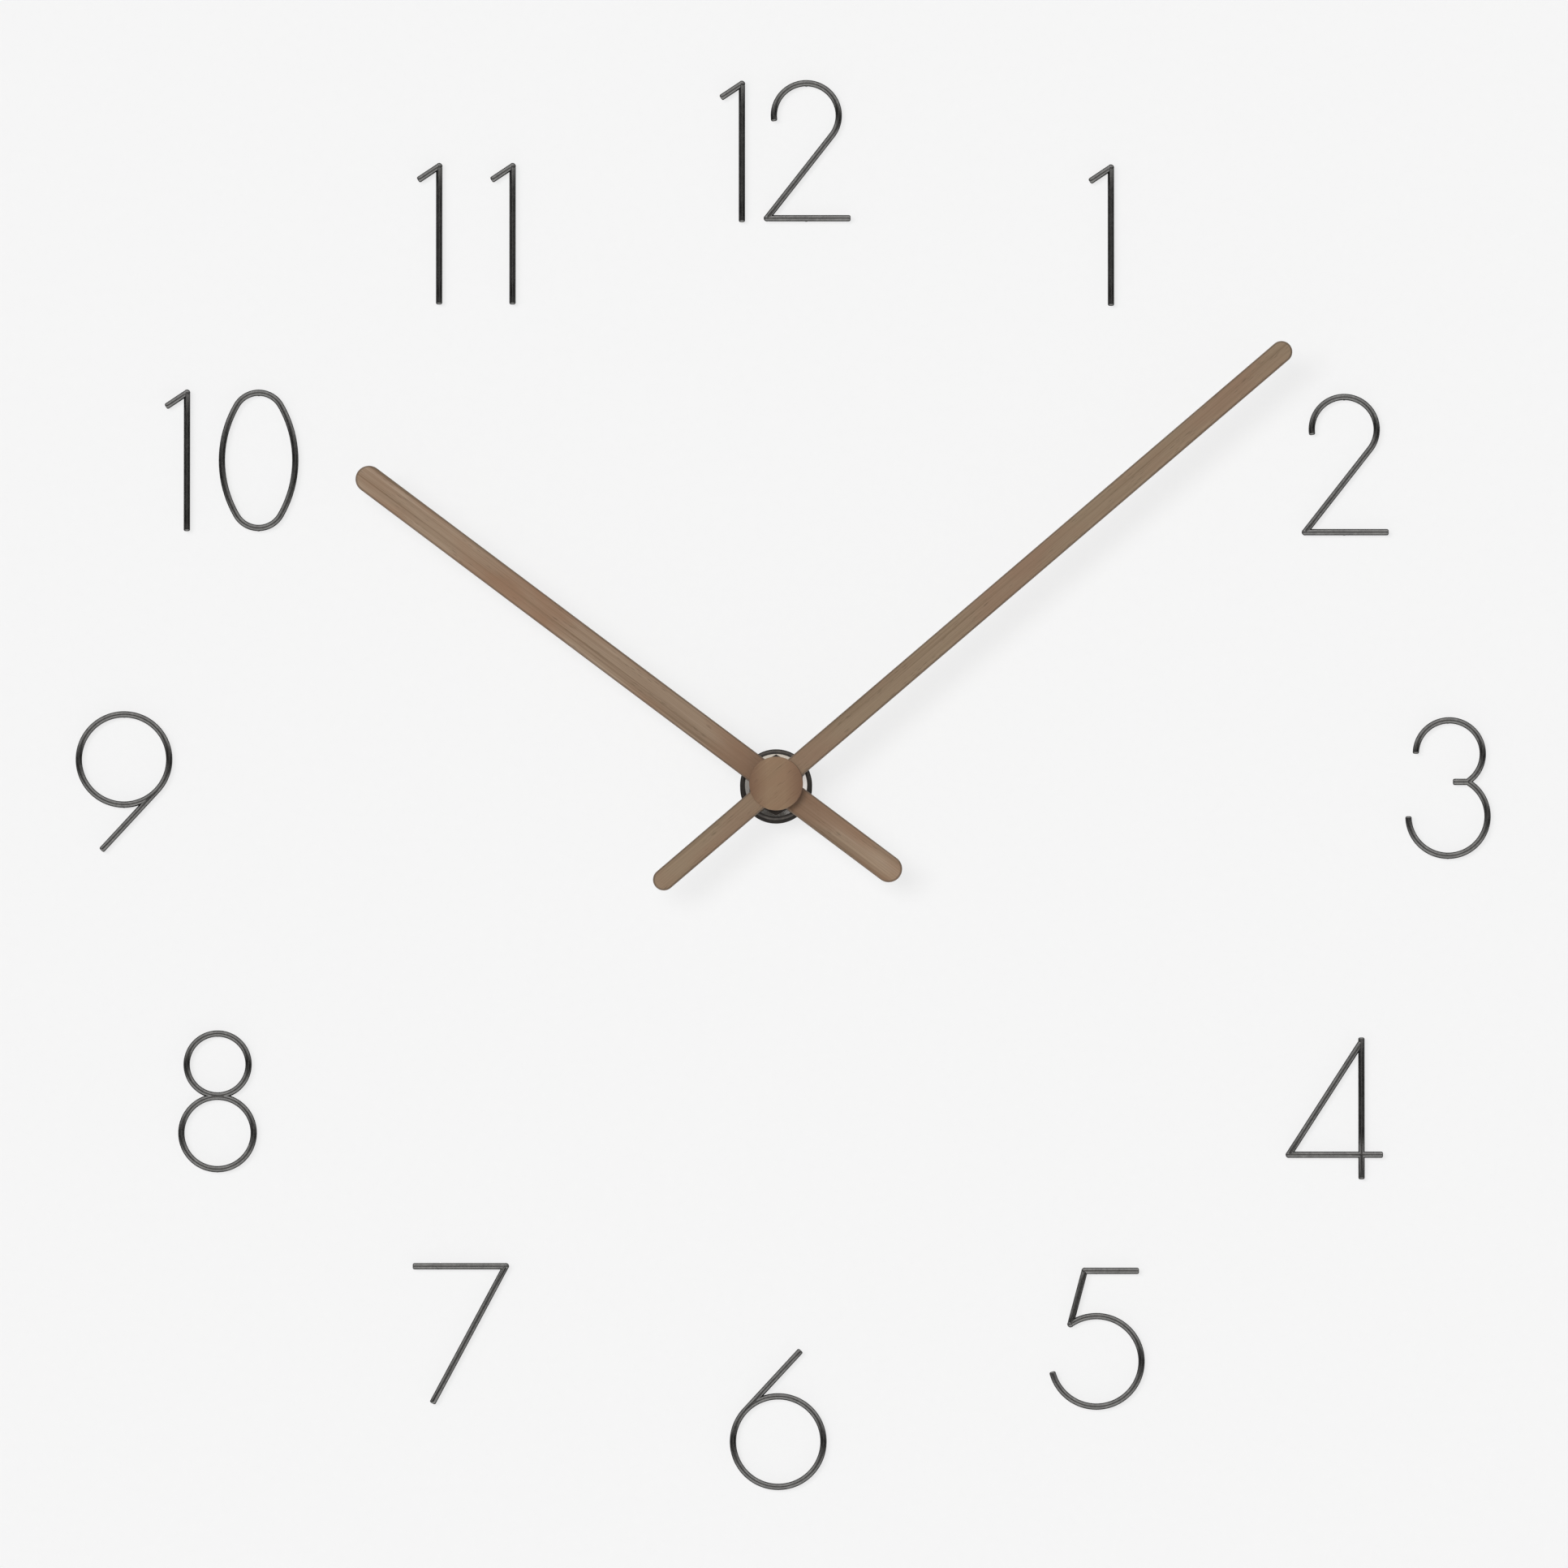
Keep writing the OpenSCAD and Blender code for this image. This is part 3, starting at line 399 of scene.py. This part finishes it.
def close(mesh):
    """Outward faces and smooth shading with true edges kept sharp."""
    work = bmesh.new()
    work.from_mesh(mesh)
    bmesh.ops.recalc_face_normals(work, faces=work.faces)
    work.to_mesh(mesh)
    work.free()
    for face in mesh.polygons:
        face.use_smooth = True
    mesh.set_sharp_from_angle(angle=SHARP_FROM)
    mesh.update()


def as_object(name, work):
    mesh = bpy.data.meshes.new(name)
    work.to_mesh(mesh)
    work.free()
    made = bpy.data.objects.new(name, mesh)
    bpy.context.scene.collection.objects.link(made)
    return made


def skin_rings(work, rings):
    """Quads between neighbouring closed rings of the same count."""
    for low, high in zip(rings, rings[1:]):
        for k in range(len(low)):
            n = (k + 1) % len(low)
            work.faces.new((low[k], low[n], high[n], high[k]))


# -- rod work: tubes along plane paths, drawn in mm with x right and y up ----------------------

ROD_R, BEAD_R, ROD_SIDES, ROD_LIFT = 2.25, 2.3175, 32, 5.0
ROD_EASE, EASE_STEPS = 1.2, 4
SHOULDER_R, SHOULDER_EASE = 2.15, 0.2
STUD_R, STUD_EASE, STUD_DEPTH, STUD_SIDES = 1.5, 0.4, 12.0, 20
HALF = 48.0         # from a digit's middle to its top and bottom strokes
ARC_STEP = 3.0      # degrees
LINE_PIECES = 6
NEAR = 0.02         # two points of a path closer than this are one


def on_circle(c, radius, degrees):
    a = math.radians(degrees)
    return Vector((c[0] + radius * math.cos(a), c[1] + radius * math.sin(a)))


def direction(c, p):
    return math.degrees(math.atan2(p[1] - c[1], p[0] - c[0]))


def touch(c, radius, p):
    """The direction from c of the point where a line from p touches the circle about c."""
    reach = math.hypot(p[0] - c[0], p[1] - c[1])
    return direction(c, p) + math.degrees(math.acos(radius / reach))


def arc(c, radius, start, end):
    count = max(2, round(abs(end - start) / ARC_STEP))
    return [on_circle(c, radius, start + (end - start) * k / count) for k in range(count + 1)]


def line(a, b):
    a, b = Vector(a), Vector(b)
    return [a.lerp(b, k / LINE_PIECES) for k in range(LINE_PIECES + 1)]


def quarter(steps):
    """Angles from 0 to 90 degrees for an eased edge."""
    return [math.radians(90 * k / steps) for k in range(steps + 1)]


def tube(path, closed=False):
    """A round bar along the path, its ends eased."""
    work = bmesh.new()
    clean = [path[0]]
    for p in path[1:]:
        if (p - clean[-1]).length > NEAR:
            clean.append(p)
    if closed and (clean[0] - clean[-1]).length < NEAR:
        clean.pop()
    stations = []
    count = len(clean)
    for k, p in enumerate(clean):
        if closed:
            ahead, behind = clean[(k + 1) % count], clean[k - 1]
        else:
            ahead, behind = clean[min(k + 1, count - 1)], clean[max(k - 1, 0)]
        stations.append((p, (ahead - behind).normalized(), ROD_R))
    if not closed:
        for end, sign in ((0, 1), (-1, -1)):
            p, d, _ = stations[end]
            eased = [(p + sign * d * ROD_EASE * (1 - math.sin(a)), d,
                      ROD_R - ROD_EASE * (1 - math.cos(a))) for a in quarter(EASE_STEPS)]
            if end == 0:
                stations = eased[::-1] + stations[1:]
            else:
                stations = stations[:-1] + eased
    rings = []
    for p, d, r in stations:
        across = Vector((d[1], -d[0]))
        ring = []
        for k in range(ROD_SIDES):
            a = 2 * math.pi * k / ROD_SIDES
            flat = p + across * r * math.cos(a)
            ring.append(work.verts.new((flat[0] * MM, -r * math.sin(a) * MM, flat[1] * MM)))
        rings.append(ring)
    if closed:
        rings.append(rings[0])
    skin_rings(work, rings)
    if not closed:
        work.faces.new(rings[0])
        work.faces.new(rings[-1])
    bmesh.ops.recalc_face_normals(work, faces=work.faces)
    return as_object("tube", work)


def ball(p):
    """The dressed weld where two rods meet at a corner."""
    work = bmesh.new()
    bmesh.ops.create_uvsphere(work, u_segments=ROD_SIDES, v_segments=ROD_SIDES // 2, radius=BEAD_R * MM)
    bmesh.ops.translate(work, verts=work.verts, vec=(p[0] * MM, 0, p[1] * MM))
    return as_object("ball", work)


def stud(p):
    """A pin into the wall with a shoulder back to the wall's surface, its far end eased."""
    work = bmesh.new()
    rings = []
    stations = [(0, SHOULDER_R), (ROD_LIFT - SHOULDER_EASE, SHOULDER_R),
                (ROD_LIFT, SHOULDER_R - SHOULDER_EASE), (ROD_LIFT, STUD_R)]
    stations += [(ROD_LIFT + STUD_DEPTH - STUD_EASE * (1 - math.sin(a)),
                  STUD_R - STUD_EASE * (1 - math.cos(a))) for a in quarter(EASE_STEPS)]
    for depth, r in stations:
        rings.append([
            work.verts.new(((p[0] + r * math.cos(a)) * MM, depth * MM, (p[1] + r * math.sin(a)) * MM))
            for a in (2 * math.pi * k / STUD_SIDES for k in range(STUD_SIDES))
        ])
    skin_rings(work, rings)
    work.faces.new(rings[0])
    work.faces.new(rings[-1])
    bmesh.ops.recalc_face_normals(work, faces=work.faces)
    return as_object("stud", work)


def weld(name, parts):
    """One closed mesh from overlapping closed ones."""
    base = parts[0]
    for other in parts[1:]:
        step = base.modifiers.new("union", "BOOLEAN")
        step.operation, step.solver, step.object = "UNION", "MANIFOLD", other
        graph = bpy.context.evaluated_depsgraph_get()
        mesh = bpy.data.meshes.new_from_object(base.evaluated_get(graph))
        base.modifiers.clear()
        base.data = mesh
        bpy.data.objects.remove(other)
    base.name = base.data.name = name
    return base


def digit_0():
    across, end_r = 26, 18
    side_r = (across ** 2 + (HALF - end_r) ** 2 - end_r ** 2) / (2 * (across - end_r))
    top, right = Vector((0, HALF - end_r)), Vector((across - side_r, 0))
    split = direction(right, top)
    path = (arc(right, side_r, -split, split) + arc(top, end_r, split, 180 - split)
            + arc(-right, side_r, 180 - split, 180 + split) + arc(-top, end_r, 180 + split, 360 - split))
    return [tube(path, True), stud((0, HALF)), stud((0, -HALF))]


def digit_1():
    return [tube(line((7, -HALF - ROD_R), (7, HALF))), tube(line((7, HALF), (-8, 38))), ball((7, HALF)),
            stud((7, 38)), stud((7, -38))]


def digit_2():
    c, r, corner = Vector((-0.6, 25)), 23, Vector((-28.5, -HALF))
    at = touch(c, r, corner)
    return [tube(arc(c, r, 190, at) + line(on_circle(c, r, at), corner)),
            tube(line(corner, (28.5 + ROD_R, -HALF))), ball(corner),
            stud((-0.6, HALF)), stud((-0.6, -HALF))]


def digit_3():
    c1, c2 = Vector((1, 24.3)), Vector((0, -20))
    r1, r2 = HALF - 24.3, HALF - 20
    gap = (c1 - c2).length
    along = (r2 * r2 - r1 * r1 + gap * gap) / (2 * gap)
    out = math.sqrt(r2 * r2 - along * along)
    u = (c1 - c2) / gap
    meet = c2 + along * u + out * Vector((u[1], -u[0]))
    return [tube(arc(c1, r1, 180, direction(c1, meet))), tube(arc(c2, r2, direction(c2, meet), -180)),
            tube(line((3.5, meet[1]), meet)), ball(meet), stud((0, HALF - 0.02)), stud((0, -HALF))]


def digit_4():
    left = Vector((-32.4, -32.8))
    return [tube(line((19, -HALF - ROD_R), (19, HALF + ROD_R))), tube(line((19, 47), left)),
            tube(line(left, (34.2, -32.8))), ball(left), stud((19, -44)), stud((19, 30))]


def digit_5():
    c, r, corner, start = Vector((0, -16)), 32, Vector((-8.2, HALF)), 124.7
    heel = on_circle(c, r, start)
    return [tube(line(corner, (30.2, HALF))), tube(line(corner, heel)),
            tube(arc(c, r, start, start - 291.6)), ball(corner), ball(heel),
            stud((0, HALF)), stud((0, -HALF))]


def digit_6():
    c, r, tip = Vector((0, -16)), 32, Vector((16, HALF + 0.5))
    return [tube(arc(c, r, 0, 360), True), tube(line(tip, on_circle(c, r, touch(c, r, tip)))),
            stud((0, 16)), stud((0, -HALF))]


def digit_7():
    corner, foot, tie = Vector((31.9, HALF)), Vector((-20, -49)), -16
    slope = (corner[1] - foot[1]) / (corner[0] - foot[0])
    return [tube(line((-33.9, HALF), corner)), tube(line(corner, foot)), ball(corner),
            stud((tie, HALF)), stud((tie, HALF - slope * (corner[0] - tie)))]


def digit_8():
    upper, lower = 21.9, 25.6
    return [tube(arc((0, HALF - upper), upper, 90, 450), True),
            tube(arc((0, lower - HALF), lower, -90, 270), True), stud((0, HALF)), stud((0, -HALF))]


DIGITS = {
    "numeral_12_one": digit_1, "numeral_12_two": digit_2, "numeral_1": digit_1, "numeral_2": digit_2,
    "numeral_3": digit_3, "numeral_4": digit_4, "numeral_5": digit_5, "numeral_6": digit_6,
    "numeral_7": digit_7, "numeral_8": digit_8, "numeral_9": digit_6, "numeral_10_one": digit_1,
    "numeral_10_zero": digit_0, "numeral_11_left": digit_1, "numeral_11_right": digit_1,
}

for node, draw in DIGITS.items():
    piece = weld("rods_" + node, draw())
    if node == "numeral_9":     # a six turned half round
        piece.data.transform(Matrix.Rotation(math.pi, 4, "Y"))
    lo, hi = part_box(node)
    co = [v.co for v in piece.data.vertices]
    mid = Vector([(min(c[i] for c in co) + max(c[i] for c in co)) / 2 for i in range(3)])
    piece.location = ((lo[0] + hi[0]) / 2 - mid[0], -ROD_LIFT * MM, (lo[2] + hi[2]) / 2 - mid[2])
    close(piece.data)
    piece.data.materials.clear()
    piece.data.materials.append(LOOKS["graphite_rod"])
    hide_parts(node)
    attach(piece, BODY_OF[node])


# -- hands: flat bars with full round ends, both faces' edges eased ----------------------------

END_STEPS, DISC_SIDES, BORE_SIDES, EDGE_STEPS = 28, 120, 48, 6


def stadium(half_w, reach, tail, inset):
    """Outline in the hand's own X and Z, anticlockwise from the tip's right side."""
    r = half_w - inset
    turns = [math.pi * k / END_STEPS for k in range(END_STEPS + 1)]
    tip = [(r * math.cos(a), reach - half_w + r * math.sin(a)) for a in turns]
    end = [(r * math.cos(math.pi + a), -tail + half_w + r * math.sin(math.pi + a)) for a in turns]
    return tip + end


def disc(radius, inset, count=DISC_SIDES):
    return [((radius - inset) * math.cos(a), (radius - inset) * math.sin(a))
            for a in (2 * math.pi * k / count for k in range(count))]


def slab(name, outline, thickness, front, back, hole=0.0):
    """A plate from y = 0 out to y = -thickness whose outline(inset) draws in at its eased edges.

    front and back are each (how far the edge draws in, how deep it starts). hole is a bore's radius.
    The layer named eased is 1 on the sides and the back and falls to 0 at the front face."""
    work = bmesh.new()
    eased = work.verts.layers.float.new("eased")
    stations = [(back[0] * (1 - math.sin(a)), back[1] * (1 - math.cos(a)), 1.0)
                for a in quarter(EDGE_STEPS)]
    stations += [(front[0] * (1 - math.cos(a)), thickness - front[1] * (1 - math.sin(a)),
                  1 - k / EDGE_STEPS) for k, a in enumerate(quarter(EDGE_STEPS))]
    rings = []
    for inset, height, mark in stations:
        ring = []
        for x, z in outline(inset):
            v = work.verts.new((x * MM, -height * MM, z * MM))
            v[eased] = mark
            ring.append(v)
        rings.append(ring)
    skin_rings(work, rings)
    if hole:
        bores = []
        for height in (0, thickness):
            bores.append([work.verts.new((x * MM, -height * MM, z * MM))
                          for x, z in disc(hole, 0, BORE_SIDES)])
        skin_rings(work, bores)
        for rim, bore in ((rings[0], bores[0]), (rings[-1], bores[1])):
            edges = [work.edges.get((a[k], a[(k + 1) % len(a)]))
                     for a in (rim, bore) for k in range(len(a))]
            bmesh.ops.triangle_fill(work, use_beauty=True, edges=edges)
    else:
        work.faces.new(rings[0])
        work.faces.new(rings[-1])
    bmesh.ops.recalc_face_normals(work, faces=work.faces)
    return as_object(name, work)


def hand_angle(node):
    """A hand's direction at rest, clockwise from twelve, from the far end of its own mesh."""
    far = max((v.co for v in NODES[node].data.vertices), key=lambda co: math.hypot(co[0], co[2]))
    return math.atan2(far[0], far[2])


def place_hand(piece, node, angle, look):
    lo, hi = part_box(node)
    piece.location = (0, hi[1], 0)
    piece.rotation_euler = (0, angle, 0)
    close(piece.data)
    piece.data.materials.append(LOOKS[look])
    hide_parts(node)
    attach(piece, BODY_OF[node])


HOUR_W, HOUR_REACH, HOUR_TAIL = 19.0, 369.5, 109.0
MINUTE_W, MINUTE_REACH, MINUTE_TAIL = 15.3, 478.0, 112.0
HAND_T, HAND_BORE, CAP_R, CAP_T = 2.2, 3.6, 19.0, 1.4
HAND_FRONT, HAND_BACK, CAP_FRONT, CAP_BACK = (1.4, 1.7), (0.3, 0.3), (0.5, 0.4), (0.15, 0.15)
CAP_TINT = (1.04, 0.955, 0.888)     # the cap's wood against the minute hand's

hour = slab("walnut_hour_hand", lambda inset: stadium(HOUR_W / 2, HOUR_REACH, HOUR_TAIL, inset),
            HAND_T, HAND_FRONT, HAND_BACK, HAND_BORE)
place_hand(hour, "hour_hand", hand_angle("hour_hand"), "hour_walnut")
minute_direction = hand_angle("minute_hand")
minute = slab("walnut_minute_hand", lambda inset: stadium(MINUTE_W / 2, MINUTE_REACH, MINUTE_TAIL, inset),
              HAND_T, HAND_FRONT, HAND_BACK, HAND_BORE)
place_hand(minute, "minute_hand", minute_direction, "minute_walnut")
cap = slab("walnut_cap", lambda inset: disc(CAP_R, inset), CAP_T, CAP_FRONT, CAP_BACK)
place_hand(cap, "minute_hand_cap", minute_direction, "minute_walnut")
cap_tone = [tuple(c * k for c, k in zip(colour, CAP_TINT)) for colour in MINUTE_TONE]
# the cap's walnut: painted shade on its left and right sides and, weaker, on its eased edge
cap.data.materials[0] = walnut("cap_walnut", cap_tone, 0.0, disc_turn=math.degrees(minute_direction),
                               contrast=0.5, painted_edge_shade=0.25)


# ---- studio --------------------------------------------------------------------------------

WALL_ALBEDO, WALL_GLOW = 0.25, 0.733
FLOOR_ALBEDO, FLOOR_GLOW, FLOOR_SHOWN = 0.55, 0.3, 0.56
ROOM_LIGHT, ROOM_SHOWN = 0.10, 0.84
SUN_POWER, SUN_WIDTH, TO_SUN = 2.62, math.radians(38), Vector((-0.33, -1.0, 0.03))
WALL_HALF, WALL_Y, FLOOR_HALF, FLOOR_Z = 4.0, 0.0003, 80.0, -1.65
SHELL_R = 60

scene = bpy.context.scene
scene.view_settings.view_transform = "Standard"
scene.view_settings.look = "None"
scene.view_settings.exposure = 0
scene.view_settings.gamma = 1


def flat(name, corners, material):
    work = bmesh.new()
    work.faces.new([work.verts.new(c) for c in corners])
    made = as_object(name, work)
    made.data.materials.append(material)
    return made


def lit_for_camera(tree, socket, lighting, shown):
    """The socket is `shown` where the camera looks straight at it and `lighting` for all other rays."""
    path = tree.nodes.new("ShaderNodeLightPath")
    made = tree.nodes.new("ShaderNodeMapRange")
    made.inputs["To Min"].default_value = lighting
    made.inputs["To Max"].default_value = shown
    tree.links.new(path.outputs["Is Camera Ray"], made.inputs["Value"])
    tree.links.new(made.outputs["Result"], socket)


def plain(name, albedo, glow):
    """Matt paint with some light of its own, so that shadows on it stay pale."""
    s = Shader(name)
    grain = s.noise(s.space((140,) * 3), 1, 3, 0.5)
    tone = s.span(grain, 0.985, 1.015, 0.3, 0.7)
    colour = s.mix(1.0, (albedo,) * 3, tone, "MULTIPLY")
    s.set(colour=colour, rough=1.0, spec=0.0)
    s.bsdf.inputs["Emission Color"].default_value = (1, 1, 1, 1)
    s.bsdf.inputs["Emission Strength"].default_value = glow
    return s


# the wall shows only from the front, so the clock can be seen from behind
wall_paint = plain("wall_paint", WALL_ALBEDO, WALL_GLOW)
output = wall_paint.tree.nodes["Material Output"]
clear = wall_paint.node("ShaderNodeBsdfTransparent")
side = wall_paint.node("ShaderNodeNewGeometry")
either = wall_paint.node("ShaderNodeMixShader")
wall_paint.join(side.outputs["Backfacing"], either.inputs[0])
wall_paint.join(wall_paint.bsdf.outputs[0], either.inputs[1])
wall_paint.join(clear.outputs[0], either.inputs[2])
wall_paint.join(either.outputs[0], output.inputs[0])

flat("wall", [(-WALL_HALF, WALL_Y, FLOOR_Z), (WALL_HALF, WALL_Y, FLOOR_Z), (WALL_HALF, WALL_Y, WALL_HALF),
              (-WALL_HALF, WALL_Y, WALL_HALF)], wall_paint.mat)
floor_paint = plain("floor_paint", FLOOR_ALBEDO, FLOOR_GLOW)
lit_for_camera(floor_paint.tree, floor_paint.bsdf.inputs["Emission Strength"], FLOOR_GLOW, FLOOR_SHOWN)
floor = flat("floor", [(-FLOOR_HALF, -FLOOR_HALF, FLOOR_Z), (FLOOR_HALF, -FLOOR_HALF, FLOOR_Z),
                       (FLOOR_HALF, FLOOR_HALF, FLOOR_Z), (-FLOOR_HALF, FLOOR_HALF, FLOOR_Z)],
             floor_paint.mat)
floor.visible_glossy = False

world = bpy.data.worlds.new("room")
world.use_nodes = True
background = world.node_tree.nodes["Background"]
background.inputs["Color"].default_value = (1, 1, 1, 1)
lit_for_camera(world.node_tree, background.inputs["Strength"], ROOM_LIGHT, ROOM_SHOWN)
scene.world = world
world.cycles_visibility.glossy = False

sun_data = bpy.data.lights.new("soft_key", "SUN")
sun_data.energy = SUN_POWER
sun_data.angle = SUN_WIDTH
sun = bpy.data.objects.new("soft_key", sun_data)
sun.rotation_euler = TO_SUN.to_track_quat("Z", "Y").to_euler()
sun.visible_glossy = False
scene.collection.objects.link(sun)


def studio_shell():
    """A wide sphere of soft light and dark that only glossy reflections see."""
    s = Shader("studio_reflections")
    s.tree.nodes.remove(s.bsdf)
    unit = s.node("ShaderNodeVectorMath", operation="NORMALIZE")
    s.join(s.coords.outputs["Object"], unit.inputs[0])
    x, y, z = s.axes(unit.outputs[0])
    upward = s.ramp(s.span(z, 0, 1, -1, 1), [
        (0.0, (3.1,) * 3), (0.30, (2.8,) * 3), (0.43, (0.15,) * 3), (0.47, (0.02,) * 3),
        (0.53, (0.02,) * 3), (0.57, (0.15,) * 3), (0.70, (2.8,) * 3), (1.0, (3.1,) * 3)])
    front = s.span(y, 1, 0, -0.93, -0.90)

    def between(value, low, high, soft):
        return s.math("MULTIPLY", s.span(value, 0, 1, low - soft, low + soft),
                      s.span(value, 1, 0, high - soft, high + soft))

    def card(colour, across, up, light):
        """A patch of light in front of the clock, across and up being (low, high, soft)."""
        patch = s.math("MULTIPLY", between(x, *across), between(z, *up))
        return s.mix(s.math("MULTIPLY", patch, front), colour, light)

    colour = card(upward, (0.07, 0.24, 0.02), (-0.13, 0.13, 0.03), (1.35, 1.33, 1.33))
    colour = card(colour, (-0.26, -0.07, 0.02), (-0.10, 0.12, 0.03), (0.42, 0.41, 0.40))
    colour = card(colour, (-0.12, 0.12, 0.03), (0.08, 0.26, 0.02), (1.02, 0.94, 0.84))
    colour = card(colour, (-0.12, 0.12, 0.03), (-0.26, -0.08, 0.02), (0.130, 0.118, 0.105))
    glow = s.node("ShaderNodeEmission")
    s.join(colour, glow.inputs["Color"])
    s.join(glow.outputs[0], s.tree.nodes["Material Output"].inputs[0])
    work = bmesh.new()
    bmesh.ops.create_icosphere(work, subdivisions=4, radius=SHELL_R)
    shell = as_object("studio_shell", work)
    shell.data.materials.append(s.mat)
    shell.visible_camera = False
    shell.visible_diffuse = False
    shell.visible_transmission = False
    shell.visible_volume_scatter = False
    shell.visible_shadow = False


studio_shell()

# the camera stands a long way off, a little to the right of the hub's axis and slightly below it,
# and looks up at the middle of the hands
FRAME_W, DISTANCE, ASIDE, BELOW = 1.110, 20.0, 0.0056, math.radians(3.5)
SENSOR_W, SEEN_TO = 36, 200
hands_y = (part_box("hour_hand")[0][1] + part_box("minute_hand")[1][1]) / 2
camera_data = bpy.data.cameras.new("camera")
camera_data.sensor_width = SENSOR_W
camera_data.lens = SENSOR_W * DISTANCE / FRAME_W
camera_data.clip_end = SEEN_TO
camera = bpy.data.objects.new("camera", camera_data)
back = DISTANCE * math.cos(BELOW)
camera.location = (ASIDE, -back, -(back + hands_y) * math.tan(BELOW))
camera.rotation_euler = (math.radians(90) + BELOW, 0, 0)
scene.collection.objects.link(camera)
bpy.context.scene.camera = camera
